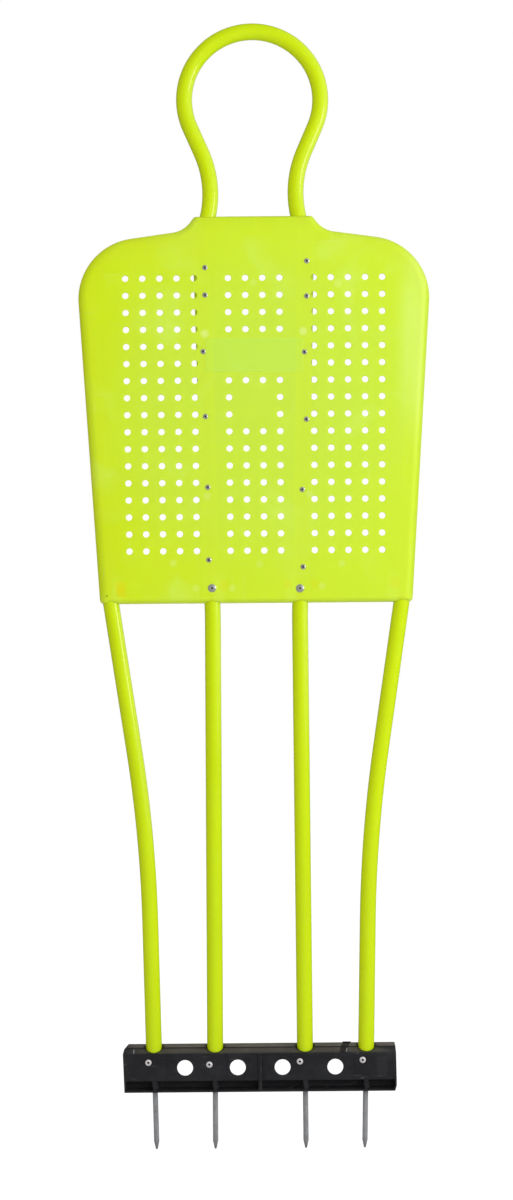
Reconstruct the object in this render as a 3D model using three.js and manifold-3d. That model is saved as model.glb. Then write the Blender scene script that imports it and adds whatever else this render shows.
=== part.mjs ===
// Free kick mannequin: a perforated torso panel riveted to a frame of bent tubes that stands in a spiked base bar.
// Millimetres. X runs across the shoulders, -Y is the front and +Z is up.
// The origin is the middle of the base bar's underside, at turf level.
import * as THREE from "three";
import { mergeVertices } from "three/addons/utils/BufferGeometryUtils.js";
import Module from "manifold-3d";

const wasm = await Module();
wasm.setup();

const SIDES = { left: -1, right: 1 };

// Fits
const TOUCH_GAP = 0.3;
const TUBE_CLEARANCE = 0.4;
const DRILLING_CLEARANCE = 0.5;
const NOTCH_CLEARANCE = 0.7;

// Frame tube
const TUBE_RADIUS = 13.5;
const TUBE_WALL = 1.2;
const TUBE_SIDES = 10;
const BEND_TURN = degrees(15); // the most that a tube turns, and runs, between two rings of its mesh
const BEND_RUN = 90;

// Head loop, neck and chest bends of the inner frame tube, measured to the tube's axis
const HEAD_TOP = 1800;
const HEAD_RADIUS = 115;
const NECK_SLOPE = degrees(23.7); // of the straight run between the head and the neck bend
const NECK_WAIST = 72;
const NECK_RADIUS = 172;
const NECK_FLARE = degrees(19.5);
const CHEST_RADIUS = 118;
const CHEST_TAPER = degrees(1.4);
const INNER_KNEE = { height: 800, radius: 300 };

// Legs
const FOOT_HEIGHT = 22.5;
const INNER_FOOT_X = 76;
const OUTER_FOOT_X = 178.2;
const OUTER_KNEE = { x: 186.8, z: 430, radius: 2300 };
const OUTER_THIGH_SLOPE = degrees(8.5);
const HIP_RADIUS = 300;
const COPE_DEPTH = 7; // the outer tube's open end stops this far outside the inner tube's axis

// Torso panel: corners of the right half from the neck down, each with the radius of its rounding
const PANEL_TOP = 1473.3;
const PANEL_BOTTOM = 820.8;
const NECK_CORNER = { x: 99.8, z: PANEL_TOP, radius: 8, steps: 2 };
const NECK_FOOT = { x: 117.6, z: 1449.8, radius: 45, steps: 3 };
const SHOULDER_CORNER = { x: 302.5, z: 1424.6, radius: 103.4, steps: 8 };
const HEM_CORNER = { x: 263.7, z: PANEL_BOTTOM, radius: 8, steps: 2 };
const PANEL_WALL = 3;
const PANEL_FRONT_GAP = 0.5; // between the panel's inner face and the front of the tubes
const PANEL_SIDE_GAP = 1; // between its side walls and the outer tubes
const RIM_BACK = 10; // how far the turned-back rim reaches behind the tubes' axes

// How far in from the outline the rounded rim meets the flat front, on each run of the outline
const RIM_ROUND = { top: 7, flare: 12, side: 17, hem: 10 };
const RIM_STEPS_OUTSIDE = 4;
const RIM_STEPS_INSIDE = 3;

// Perforation of the panel: 17 rows of 16 places, whose rows draw in a little towards the hem
const HOLE_RADIUS = 5.4;
const HOLE_SIDES = 6;
const HOLE_ROWS = 17;
const HOLE_COLUMNS = 16;
const TOP_ROW_HEIGHT = 1367.5;
const ROW_PITCH = 28.65;
const COLUMN_PITCH_TOP = 28.8;
const COLUMN_PITCH_HEM = 28.3;
const TUBE_COLUMNS = [5, 10]; // places in front of the inner tubes, left solid
const LABEL_ROWS = [4, 5]; // rows that the label field takes between the tubes
const FRAMED_ROWS = [7, 8]; // rows with only their outer holes between the tubes

// Bare label field, raised on the chest between the inner tubes
const LABEL = { halfWidth: 79, bottom: 1208, top: 1266, corner: 6, raise: 0.5 };

// Blind rivets: head radius, head height, shank radius and shank length
const SMALL_RIVET = { head: 4.6, height: 1.8, shank: 2.4, length: 9.5 };
const WIDE_RIVET = { head: 7, height: 2.6, shank: 2.4, length: 9.5 };
const BASE_RIVET = { head: 5.3, height: 1.6, shank: 2.4, length: 16 };
const RIVET_SIDES = 8;
const DRILLING_SIDES = 6;

// Places of the rivets, drilled by hand: height, and offset from the axis of the tube behind, +X to the right
const PANEL_RIVETS = {
  left: [
    { height: 1385, offset: 6.2 },
    { height: 1339, offset: 4.9 },
    { height: 1244, offset: -1.3 },
    { height: 1135, offset: -0.9 },
    { height: 1016, offset: -1.1 },
    { height: 894, offset: -3.2 },
  ],
  right: [
    { height: 1395, offset: 1.3 },
    { height: 1336, offset: 2.2 },
    { height: 1242, offset: 0 },
    { height: 1129, offset: 5.2 },
    { height: 1011, offset: 0 },
    { height: 881, offset: 3.6 },
  ],
};
const HEM_RIVETS = {
  left: { height: 846.5, offset: 0.5 },
  right: { height: 845, offset: -1.2 },
};
const BASE_RIVETS = {
  outer_left: { height: 50.4, offset: -9 },
  inner_left: { height: 46.4, offset: -9.5 },
  inner_right: { height: 50.6, offset: -9.2 },
  outer_right: { height: 52.3, offset: -6.7 },
};

// Base bar: a rear-open moulding that stands on a set-back web and a ground flange
const BAR_LEFT_END = [
  { x: -228.4, z: 0 },
  { x: -230.7, z: 65 },
  { x: -223, z: 73.7 },
];
const BAR_RIGHT_END = [
  { x: 228.2, z: 73.7 },
  { x: 229.2, z: 19.2 },
  { x: 229.2, z: 9 },
  { x: 226.5, z: 0 },
];
const BAR_FRONT = -17.5;
const BAR_BACK = 16.5;
const BAR_HEIGHT = 73.7;
const BAR_CHAMFER = 9;
const BAR_WALL = 3;
const FLOOR_UNDERSIDE = 19.2;
const FLOOR_TOP = 21.6;
const FLOOR_WINDOWS = [[-158, -95], [-57, 57], [95, 158]]; // where the floor stops at the web
const WEB_FRONT = 4;
const GUSSET = { halfTop: 4, halfFoot: 2 };
const CENTRE_RIB_WIDTH = 6.2;
const BACK_RIB_WIDTH = 2.5;
const BACK_RIB_PLACES = [-157.5, -55.6, 0, 55.6, 157.5];
const CARRY_HOLE_RADIUS = 13.9;
const CARRY_HOLE_HEIGHT = 41;
const CARRY_HOLE_PLACES = [-126.2, -37.6, 37.6, 126.2];
const CARRY_HOLE_SIDES = 12;
const SOCKET_TOP = 36;
const SOCKET_RADIUS = 16.4;
const SPIKE_BOSS_RADIUS = 7.5;
const CENTRE_BAND = { halfWidth: 3.5, raise: 0.5 };
const CATCH = { x: 147, halfWidth: 7.2, depth: 3, height: 1.4 };

// Ground spikes and the plugs that hold them in the legs
const SPIKE_RADIUS = 4.43;
const SPIKE_DEPTH = 100;
const SPIKE_POINT = 13.5;
const SPIKE_TIP_RADIUS = 0.6;
const SPIKE_TOP = 39;
const SPIKE_SIDES = 8;
const PLUG_TOP = 41;

// Materials
const PANEL_PLASTIC = finish(0xcdf032, 0.45, 0);
const TUBE_COATING = finish(0xc6e800, 0.28, 0);
const BAR_PLASTIC = finish(0x2d2d2f, 0.62, 0);
const PLUG_PLASTIC = finish(0x1b1b1d, 0.7, 0);
const SPIKE_STEEL = finish(0x8c8e94, 0.38, 0.9);
const RIVET_METAL = finish(0xc4c6c8, 0.25, 0.95);

function degrees(angle) {
  return THREE.MathUtils.degToRad(angle);
}

function finish(color, roughness, metalness) {
  return new THREE.MeshStandardMaterial({ color, roughness, metalness });
}

// A closed geometry as a solid that can be joined and cut.
function solidOf(geometry) {
  const bare = geometry.clone();
  bare.deleteAttribute("normal");
  bare.deleteAttribute("uv");
  const merged = mergeVertices(bare, 1e-4);
  return new wasm.Manifold(
    new wasm.Mesh({
      numProp: 3,
      vertProperties: merged.getAttribute("position").array,
      triVerts: new Uint32Array(merged.index.array),
    }),
  );
}

function geometryOf(solid) {
  const mesh = solid.getMesh();
  const geometry = new THREE.BufferGeometry();
  geometry.setAttribute("position", new THREE.BufferAttribute(mesh.vertProperties, 3));
  geometry.setIndex(new THREE.BufferAttribute(mesh.triVerts, 1));
  geometry.computeVertexNormals();
  return geometry;
}

function join(solids) {
  return solids.reduce((whole, next) => whole.add(next));
}

// Shapes drawn in X and Z, run from one Y to another.
function throughY(shapes, fromY, toY) {
  const geometry = new THREE.ExtrudeGeometry(shapes, { depth: toY - fromY, bevelEnabled: false, curveSegments: 6 });
  geometry.rotateX(Math.PI / 2);
  geometry.translate(0, toY, 0);
  return geometry;
}

// A shape drawn in Y and Z, run from one X to another.
function throughX(shape, fromX, toX) {
  const geometry = new THREE.ExtrudeGeometry(shape, { depth: toX - fromX, bevelEnabled: false });
  const [acrossX, acrossY, acrossZ] = [0, 1, 2].map((axis) => new THREE.Vector3().setComponent(axis, 1));
  geometry.applyMatrix4(new THREE.Matrix4().makeBasis(acrossY, acrossZ, acrossX));
  geometry.translate(fromX, 0, 0);
  return geometry;
}

function polygon(points) {
  return new THREE.Shape(points.map(([across, up]) => new THREE.Vector2(across, up)));
}

function block([fromX, toX], [fromY, toY], [fromZ, toZ]) {
  const geometry = new THREE.BoxGeometry(toX - fromX, toY - fromY, toZ - fromZ);
  geometry.translate((fromX + toX) / 2, (fromY + toY) / 2, (fromZ + toZ) / 2);
  return solidOf(geometry);
}

// A round hole as a regular polygon of the same area, with a flat side at the top.
function roundHole(x, z, radius, sides) {
  const slice = (2 * Math.PI) / sides;
  const reach = radius * Math.sqrt(slice / Math.sin(slice));
  const points = [];
  for (let i = 0; i < sides; i++) {
    const angle = (i + 0.5) * slice;
    points.push([x + reach * Math.sin(angle), z + reach * Math.cos(angle)]);
  }
  return polygon(points);
}

// A turned piece about Z, from a profile of [radius, height] points that goes up the outside.
function turned(profile, sides) {
  const points = profile.map(([radius, height]) => new THREE.Vector2(radius, height));
  return new THREE.LatheGeometry(points, sides).rotateX(Math.PI / 2);
}

// Where a line through a point in one direction meets another such line.
function meeting(point, direction, otherPoint, otherDirection) {
  const gap = otherPoint.clone().sub(point);
  const along = gap.cross(otherDirection) / direction.cross(otherDirection);
  return point.clone().addScaledVector(direction, along);
}

// The arc that rounds the corner between two runs: its centre, ends, and turn, positive anticlockwise.
function roundCorner(corner, arriving, leaving, radius) {
  const turn = Math.atan2(arriving.cross(leaving), arriving.dot(leaving));
  const reach = radius * Math.tan(Math.abs(turn) / 2);
  const start = corner.clone().addScaledVector(arriving, -reach);
  const towardsCentre = new THREE.Vector2(-arriving.y, arriving.x).multiplyScalar(Math.sign(turn));
  const centre = start.clone().addScaledVector(towardsCentre, radius);
  return { start, centre, turn };
}

// Adds the run to a rounded corner, and its arc, to a path.
function bendAt(path, corner, arriving, leaving, radius) {
  const arc = roundCorner(corner, arriving, leaving, radius);
  const from = Math.atan2(arc.start.y - arc.centre.y, arc.start.x - arc.centre.x);
  path.lineTo(arc.start.x, arc.start.y);
  path.absarc(arc.centre.x, arc.centre.y, radius, from, from + arc.turn, arc.turn < 0);
}

function directionBetween(from, to) {
  return to.clone().sub(from).normalize();
}

// Stations along a path in the XZ plane: at the ends of its straight runs and spread along its bends.
function stationsOf(path) {
  const stations = [];
  for (const curve of path.curves) {
    if (curve.getLength() < 1e-3) continue; // a path joins two arcs that meet by such a run
    const length = curve.getLength();
    const turn = length / curve.xRadius;
    const count = curve.isEllipseCurve ? Math.ceil(Math.max(turn / BEND_TURN, length / BEND_RUN)) : 1;
    for (let i = stations.length ? 1 : 0; i <= count; i++) {
      const point = curve.getPoint(i / count);
      const tangent = curve.getTangent(i / count);
      stations.push({
        point: new THREE.Vector3(point.x, 0, point.y),
        tangent: new THREE.Vector3(tangent.x, 0, tangent.y),
      });
    }
  }
  return stations;
}

// The stations mirrored to the other side of X = 0, in the opposite order, so that they carry the path on downwards.
function mirroredBack(stations) {
  return stations
    .map(({ point, tangent }) => ({
      point: new THREE.Vector3(-point.x, 0, point.z),
      tangent: new THREE.Vector3(tangent.x, 0, -tangent.z),
    }))
    .reverse();
}

// A tube's axis as a curve that an extrusion follows from station to station.
class TubeAxis extends THREE.Curve {
  constructor(stations) {
    super();
    this.stations = stations;
  }

  getSpacedPoints() {
    return this.stations.map((station) => station.point.clone());
  }

  getTangentAt(share) {
    const index = Math.round(share * (this.stations.length - 1));
    return this.stations[index].tangent.clone();
  }
}

// A section run along a tube's axis. In the section, +x is the front of the object.
function alongAxis(section, stations) {
  const settings = {
    steps: stations.length - 1,
    extrudePath: new TubeAxis(stations),
    curveSegments: TUBE_SIDES / 2,
    bevelEnabled: false,
  };
  return solidOf(new THREE.ExtrudeGeometry(section, settings));
}

function circle(radius) {
  return new THREE.Shape().absarc(0, 0, radius, 0, 2 * Math.PI, false);
}

function tubeSection() {
  const section = circle(TUBE_RADIUS);
  section.holes.push(circle(TUBE_RADIUS - TUBE_WALL));
  return section;
}

// A slot round a tube that is open to the back, so that the panel goes on from the front.
function slotSection(clearance, back) {
  const radius = (TUBE_RADIUS + clearance) / Math.cos(Math.PI / TUBE_SIDES);
  const points = [[-back, -radius]];
  for (let i = 0; i <= TUBE_SIDES / 2; i++) {
    const angle = Math.PI * (i / (TUBE_SIDES / 2) - 0.5);
    points.push([radius * Math.cos(angle), radius * Math.sin(angle)]);
  }
  points.push([-back, radius]);
  return polygon(points);
}

// Half of the inner frame tube's axis on the right, from its foot to the top of the head.
function innerHalfPath() {
  const headCentre = new THREE.Vector2(0, HEAD_TOP - TUBE_RADIUS - HEAD_RADIUS);
  const [cos, sin] = [Math.cos(NECK_SLOPE), Math.sin(NECK_SLOPE)];
  const neckCentreX = NECK_WAIST + NECK_RADIUS;
  const neckRun = ((HEAD_RADIUS + NECK_RADIUS) * cos - neckCentreX) / sin;
  const neckCentre = new THREE.Vector2(
    neckCentreX,
    headCentre.y - (HEAD_RADIUS + NECK_RADIUS) * sin - neckRun * cos,
  );
  const towardsNeck = new THREE.Vector2(Math.cos(NECK_FLARE), Math.sin(NECK_FLARE));
  const chestCentre = neckCentre.clone().addScaledVector(towardsNeck, -NECK_RADIUS - CHEST_RADIUS);
  const chestStart = new THREE.Vector2(
    chestCentre.x + CHEST_RADIUS * Math.cos(CHEST_TAPER),
    chestCentre.y - CHEST_RADIUS * Math.sin(CHEST_TAPER),
  );
  const thigh = new THREE.Vector2(Math.sin(CHEST_TAPER), Math.cos(CHEST_TAPER));
  const knee = chestStart.clone().addScaledVector(thigh, (INNER_KNEE.height - chestStart.y) / thigh.y);
  const foot = new THREE.Vector2(INNER_FOOT_X, FOOT_HEIGHT);
  const shin = directionBetween(foot, knee);

  const path = new THREE.Path();
  path.moveTo(foot.x, foot.y);
  bendAt(path, knee, shin, thigh, INNER_KNEE.radius);
  path.absarc(chestCentre.x, chestCentre.y, CHEST_RADIUS, -CHEST_TAPER, NECK_FLARE, false);
  path.absarc(neckCentre.x, neckCentre.y, NECK_RADIUS, Math.PI + NECK_FLARE, Math.PI - NECK_SLOPE, true);
  path.absarc(headCentre.x, headCentre.y, HEAD_RADIUS, -NECK_SLOPE, Math.PI / 2, false);
  return path;
}

// The outer tube's axis on the right: up the leg, inside the panel's side edge and shoulder, to the inner tube.
function outerPath() {
  const inside = PANEL_WALL + PANEL_SIDE_GAP + TUBE_RADIUS;
  const [neck, shoulder, hem] = [NECK_FOOT, SHOULDER_CORNER, HEM_CORNER].map(({ x, z }) => new THREE.Vector2(x, z));
  const up = directionBetween(hem, shoulder);
  const inwards = directionBetween(shoulder, neck);
  const sideStart = hem.clone().addScaledVector(new THREE.Vector2(-up.y, up.x), inside);
  const shoulderEnd = neck.clone().addScaledVector(new THREE.Vector2(-inwards.y, inwards.x), inside);
  const foot = new THREE.Vector2(OUTER_FOOT_X, FOOT_HEIGHT);
  const knee = new THREE.Vector2(OUTER_KNEE.x, OUTER_KNEE.z);
  const shin = directionBetween(foot, knee);
  const thigh = new THREE.Vector2(Math.sin(OUTER_THIGH_SLOPE), Math.cos(OUTER_THIGH_SLOPE));
  const hip = meeting(knee, thigh, sideStart, up);
  const bend = meeting(sideStart, up, shoulderEnd, inwards);
  const chest = innerAxisX(shoulderEnd.y);
  const weld = shoulderEnd.clone().addScaledVector(inwards, (chest + COPE_DEPTH - shoulderEnd.x) / inwards.x);

  const path = new THREE.Path();
  path.moveTo(foot.x, foot.y);
  bendAt(path, knee, shin, thigh, OUTER_KNEE.radius);
  bendAt(path, hip, thigh, up, HIP_RADIUS);
  bendAt(path, bend, up, inwards, SHOULDER_CORNER.radius - inside);
  path.lineTo(weld.x, weld.y);
  return path;
}

function mirroredPart(stations) {
  return stations.map(({ point, tangent }) => ({
    point: new THREE.Vector3(-point.x, 0, point.z),
    tangent: new THREE.Vector3(-tangent.x, 0, tangent.z),
  }));
}

const innerHalf = stationsOf(innerHalfPath());
const innerStations = innerHalf.concat(mirroredBack(innerHalf).slice(1));
const outerStations = { right: stationsOf(outerPath()) };
outerStations.left = mirroredPart(outerStations.right);

// The point at a height on a tube's axis that climbs from its first station.
function axisPoint(stations, height) {
  const above = stations.findIndex(({ point }) => point.z >= height);
  const [low, high] = [stations[above - 1].point, stations[above].point];
  return low.clone().lerp(high, (height - low.z) / (high.z - low.z));
}

function innerAxisX(height) {
  return axisPoint(innerHalf, height).x;
}

// Rivets

function rivet(size) {
  const { head, height, shank, length } = size;
  const profile = [
    [0, -length],
    [shank, -length],
    [shank, 0],
    [head, 0],
    [head * 0.74, height * 0.72],
    [0, height],
  ];
  return turned(profile, RIVET_SIDES).rotateX(Math.PI / 2);
}

const panelFront = -(TUBE_RADIUS + PANEL_FRONT_GAP + PANEL_WALL);

function panelRivetPlaces() {
  const places = [];
  for (const [side, sign] of Object.entries(SIDES)) {
    const place = ({ height, offset }) => ({ x: sign * innerAxisX(height) + offset, z: height });
    PANEL_RIVETS[side].forEach((at, i) => {
      places.push({ name: `panel_rivet_${side}_${i + 1}`, size: SMALL_RIVET, ...place(at) });
    });
    places.push({ name: `hem_rivet_${side}`, size: WIDE_RIVET, ...place(HEM_RIVETS[side]) });
  }
  return places;
}

const LEGS = [
  { name: "outer_left", side: -1, footX: OUTER_FOOT_X, knee: outerStations.right[1].point },
  { name: "inner_left", side: -1, footX: INNER_FOOT_X, knee: innerHalf[1].point },
  { name: "inner_right", side: 1, footX: INNER_FOOT_X, knee: innerHalf[1].point },
  { name: "outer_right", side: 1, footX: OUTER_FOOT_X, knee: outerStations.right[1].point },
];

// How a leg leans outwards on its way up, and where its axis meets the ground.
for (const leg of LEGS) {
  leg.lean = Math.atan2(leg.knee.x - leg.footX, leg.knee.z - FOOT_HEIGHT);
  leg.groundX = leg.footX - FOOT_HEIGHT * Math.tan(leg.lean);
}

function baseRivetPlaces() {
  return LEGS.map((leg) => {
    const { height, offset } = BASE_RIVETS[leg.name];
    const axisX = leg.side * (leg.groundX + height * Math.tan(leg.lean));
    return { name: `base_rivet_${leg.name}`, size: BASE_RIVET, x: axisX + offset, z: height };
  });
}

// Drilled holes for a set of rivets, from one Y to another.
function drilled(places, fromY, toY) {
  const shapes = places.map(({ x, z, size }) => roundHole(x, z, size.shank + DRILLING_CLEARANCE, DRILLING_SIDES));
  return solidOf(throughY(shapes, fromY, toY));
}

const panelRivets = panelRivetPlaces();
const baseRivets = baseRivetPlaces();

// Tubes

function innerFrameTube() {
  const legRivets = baseRivets.filter(({ name }) => name.includes("inner"));
  const tube = alongAxis(tubeSection(), innerStations);
  return tube.subtract(drilled(panelRivets, panelFront, 0)).subtract(drilled(legRivets, BAR_FRONT, 0));
}

// The outer tube ends in a cope that fits round the inner tube, where the two are welded.
function outerLegTube(side) {
  const legRivets = baseRivets.filter(({ name }) => name === `base_rivet_outer_${side}`);
  const cope = alongAxis(circle(TUBE_RADIUS + TOUCH_GAP), innerStations);
  const tube = alongAxis(tubeSection(), outerStations[side]);
  return tube.subtract(cope).subtract(drilled(legRivets, BAR_FRONT, 0));
}

// Torso panel

const PANEL_CORNERS = [NECK_CORNER, NECK_FOOT, SHOULDER_CORNER, HEM_CORNER];
const PANEL_RUNS = ["flare", "side", "side", "hem", "side", "side", "flare", "top"];

// The panel's outline, clockwise from the neck's right corner, with each run drawn in by its own amount.
function panelOutline(inset) {
  const mirrored = PANEL_CORNERS.map((corner) => ({ ...corner, x: -corner.x })).reverse();
  const corners = [...PANEL_CORNERS, ...mirrored];
  const count = corners.length;
  const points = corners.map(({ x, z }) => new THREE.Vector2(x, z));
  const runs = points.map((point, i) => {
    const direction = directionBetween(point, points[(i + 1) % count]);
    const inwards = new THREE.Vector2(direction.y, -direction.x);
    const amount = inset(RIM_ROUND[PANEL_RUNS[i]]);
    return { start: point.clone().addScaledVector(inwards, amount), direction, amount };
  });
  const outline = [];
  corners.forEach(({ radius, steps }, i) => {
    const arriving = runs[(i + count - 1) % count];
    const leaving = runs[i];
    const corner = meeting(arriving.start, arriving.direction, leaving.start, leaving.direction);
    const convex = arriving.direction.cross(leaving.direction) < 0;
    const drawnIn = (arriving.amount + leaving.amount) / 2;
    const rounding = convex ? Math.max(radius - drawnIn, 0.6) : radius + drawnIn;
    const arc = roundCorner(corner, arriving.direction, leaving.direction, rounding);
    for (let step = 0; step <= steps; step++) {
      outline.push(arc.start.clone().rotateAround(arc.centre, (arc.turn * step) / steps));
    }
  });
  return outline;
}

// A closed form through rings of equal count, each a clockwise outline at its own Y, from front to back.
function loft(rings) {
  const count = rings[0].outline.length;
  const vertices = rings.flatMap(({ outline, y }) => outline.flatMap((point) => [point.x, y, point.y]));
  const triangles = [];
  for (let ring = 0; ring < rings.length - 1; ring++) {
    for (let i = 0; i < count; i++) {
      const next = (i + 1) % count;
      const [a, b] = [ring * count + i, ring * count + next];
      triangles.push(a, b, a + count, b, b + count, a + count);
    }
  }
  const last = (rings.length - 1) * count;
  const cap = (ring, first, reversed) => {
    for (const face of THREE.ShapeUtils.triangulateShape(rings[ring].outline, [])) {
      const [a, b, c] = face.map((index) => first + index);
      triangles.push(...(reversed ? [a, c, b] : [a, b, c]));
    }
  };
  const frontIsClockwise = THREE.ShapeUtils.area(
    THREE.ShapeUtils.triangulateShape(rings[0].outline, [])[0].map((index) => rings[0].outline[index]),
  ) < 0;
  cap(0, 0, frontIsClockwise);
  cap(rings.length - 1, last, !frontIsClockwise);
  const geometry = new THREE.BufferGeometry();
  geometry.setAttribute("position", new THREE.Float32BufferAttribute(vertices, 3));
  geometry.setIndex(triangles);
  return geometry;
}

// The tray's outer form, or its hollow when a wall is given: a flat front whose rim rounds back to a straight skirt.
function trayForm(wall, steps, back) {
  const depth = -panelFront - wall;
  const rings = [];
  for (let step = 0; step <= steps; step++) {
    const angle = ((Math.PI / 2) * step) / steps;
    const drawnIn = (round) => wall + (round - wall) * (1 - Math.sin(angle));
    rings.push({ outline: panelOutline(drawnIn), y: -depth * Math.cos(angle) });
  }
  rings.push({ outline: panelOutline(() => wall), y: back });
  return solidOf(loft(rings));
}

function isSolidPlace(row, column) {
  const [leftTube, rightTube] = TUBE_COLUMNS;
  const betweenTubes = column > leftTube && column < rightTube;
  const outerPlace = column === leftTube + 1 || column === rightTube - 1;
  if (TUBE_COLUMNS.includes(column)) return true;
  if (!betweenTubes) return false;
  return LABEL_ROWS.includes(row) || (FRAMED_ROWS.includes(row) && !outerPlace);
}

function perforation() {
  const shapes = [];
  for (let row = 0; row < HOLE_ROWS; row++) {
    const pitch = THREE.MathUtils.lerp(COLUMN_PITCH_TOP, COLUMN_PITCH_HEM, row / (HOLE_ROWS - 1));
    for (let column = 0; column < HOLE_COLUMNS; column++) {
      if (isSolidPlace(row, column)) continue;
      const x = (column - (HOLE_COLUMNS - 1) / 2) * pitch;
      shapes.push(roundHole(x, TOP_ROW_HEIGHT - row * ROW_PITCH, HOLE_RADIUS, HOLE_SIDES));
    }
  }
  return solidOf(throughY(shapes, panelFront - 1, panelFront + PANEL_WALL + 1));
}

function labelField() {
  const { halfWidth, bottom, top, corner, raise } = LABEL;
  const shape = new THREE.Shape();
  shape.absarc(halfWidth - corner, bottom + corner, corner, -Math.PI / 2, 0, false);
  shape.absarc(halfWidth - corner, top - corner, corner, 0, Math.PI / 2, false);
  shape.absarc(corner - halfWidth, top - corner, corner, Math.PI / 2, Math.PI, false);
  shape.absarc(corner - halfWidth, bottom + corner, corner, Math.PI, Math.PI * 1.5, false);
  const settings = { depth: raise + PANEL_WALL / 2, bevelEnabled: false, curveSegments: 1 };
  const geometry = new THREE.ExtrudeGeometry(shape, settings).rotateX(Math.PI / 2);
  return solidOf(geometry.translate(0, panelFront + PANEL_WALL / 2, 0));
}

// A notch in the rim where a tube goes through it, on the stretch between two heights.
function notch(stations, bottom, top) {
  const [start, end] = [bottom, top].map((height) => axisPoint(stations, height));
  const tangent = end.clone().sub(start).normalize();
  const section = slotSection(NOTCH_CLEARANCE, TUBE_RADIUS + RIM_BACK);
  return alongAxis(section, [start, end].map((point) => ({ point, tangent })));
}

function torsoPanel() {
  const innerLeft = mirroredPart(innerHalf);
  const clearances = [
    ...[innerHalf, innerLeft].map((run) => notch(run, PANEL_TOP - RIM_ROUND.top - 3, PANEL_TOP + 6)),
    ...[innerHalf, innerLeft, outerStations.left, outerStations.right].map((run) =>
      notch(run, PANEL_BOTTOM - 4, PANEL_BOTTOM + RIM_ROUND.hem),
    ),
  ];
  const drillings = drilled(panelRivets, panelFront - 1, panelFront + PANEL_WALL + 1);
  const tray = trayForm(0, RIM_STEPS_OUTSIDE, RIM_BACK).subtract(trayForm(PANEL_WALL, RIM_STEPS_INSIDE, RIM_BACK + 1));
  return tray.add(labelField()).subtract(perforation()).subtract(drillings).subtract(join(clearances));
}

// Base bar

// The bar seen from its end, drawn in by a wall, between two heights and open to the back where it is a hollow.
function barSection(wall, bottom, back) {
  const chamferInside = wall * (Math.SQRT2 - 1);
  return polygon([
    [BAR_FRONT + wall, bottom],
    [back, bottom],
    [back, BAR_HEIGHT - wall],
    [BAR_FRONT + BAR_CHAMFER + chamferInside, BAR_HEIGHT - wall],
    [BAR_FRONT + wall, BAR_HEIGHT - BAR_CHAMFER - chamferInside],
  ]);
}

// The bar seen from the front, drawn in by a wall.
function barFrontView(wall) {
  const corners = [...BAR_LEFT_END, ...BAR_RIGHT_END].map(({ x, z }) => new THREE.Vector2(x, z));
  const count = corners.length;
  const runs = corners.map((corner, i) => {
    const direction = directionBetween(corner, corners[(i + 1) % count]);
    return { start: corner.clone().addScaledVector(new THREE.Vector2(direction.y, -direction.x), wall), direction };
  });
  return new THREE.Shape(
    runs.map((run, i) => {
      const before = runs[(i + count - 1) % count];
      return meeting(before.start, before.direction, run.start, run.direction);
    }),
  );
}

// The part of a section run along the bar that lies inside the bar's front view.
function alongBar(section, wall) {
  const [left, right] = [BAR_LEFT_END, BAR_RIGHT_END].map((end) => end.map(({ x }) => x));
  const run = solidOf(throughX(section, Math.min(...left) - 1, Math.max(...right) + 1));
  return run.intersect(solidOf(throughY(barFrontView(wall), BAR_FRONT - 2, BAR_BACK + 2)));
}

function footMatrix(leg) {
  const matrix = new THREE.Matrix4().makeRotationY(leg.side * leg.lean);
  return matrix.setPosition(leg.side * leg.groundX, 0, 0);
}

function standing(leg, bottom, top, radius, sides) {
  const profile = [
    [0, bottom],
    [radius, bottom],
    [radius, top],
    [0, top],
  ];
  return solidOf(turned(profile, sides).applyMatrix4(footMatrix(leg)));
}

function recess(fromY, toY) {
  const section = polygon([
    [fromY, BAR_WALL],
    [toY, BAR_WALL],
    [toY, FLOOR_UNDERSIDE],
    [fromY, FLOOR_UNDERSIDE],
  ]);
  return alongBar(section, BAR_WALL);
}

// A rib across the recess in front of the web, seen from the front, narrower at its foot.
function recessRib(x, halfTop, halfFoot, front) {
  const shape = polygon([
    [x - halfTop, FLOOR_UNDERSIDE + 1],
    [x + halfTop, FLOOR_UNDERSIDE + 1],
    [x + halfFoot, BAR_WALL - 1],
    [x - halfFoot, BAR_WALL - 1],
  ]);
  return solidOf(throughY(shape, front, WEB_FRONT + 1));
}

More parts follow.
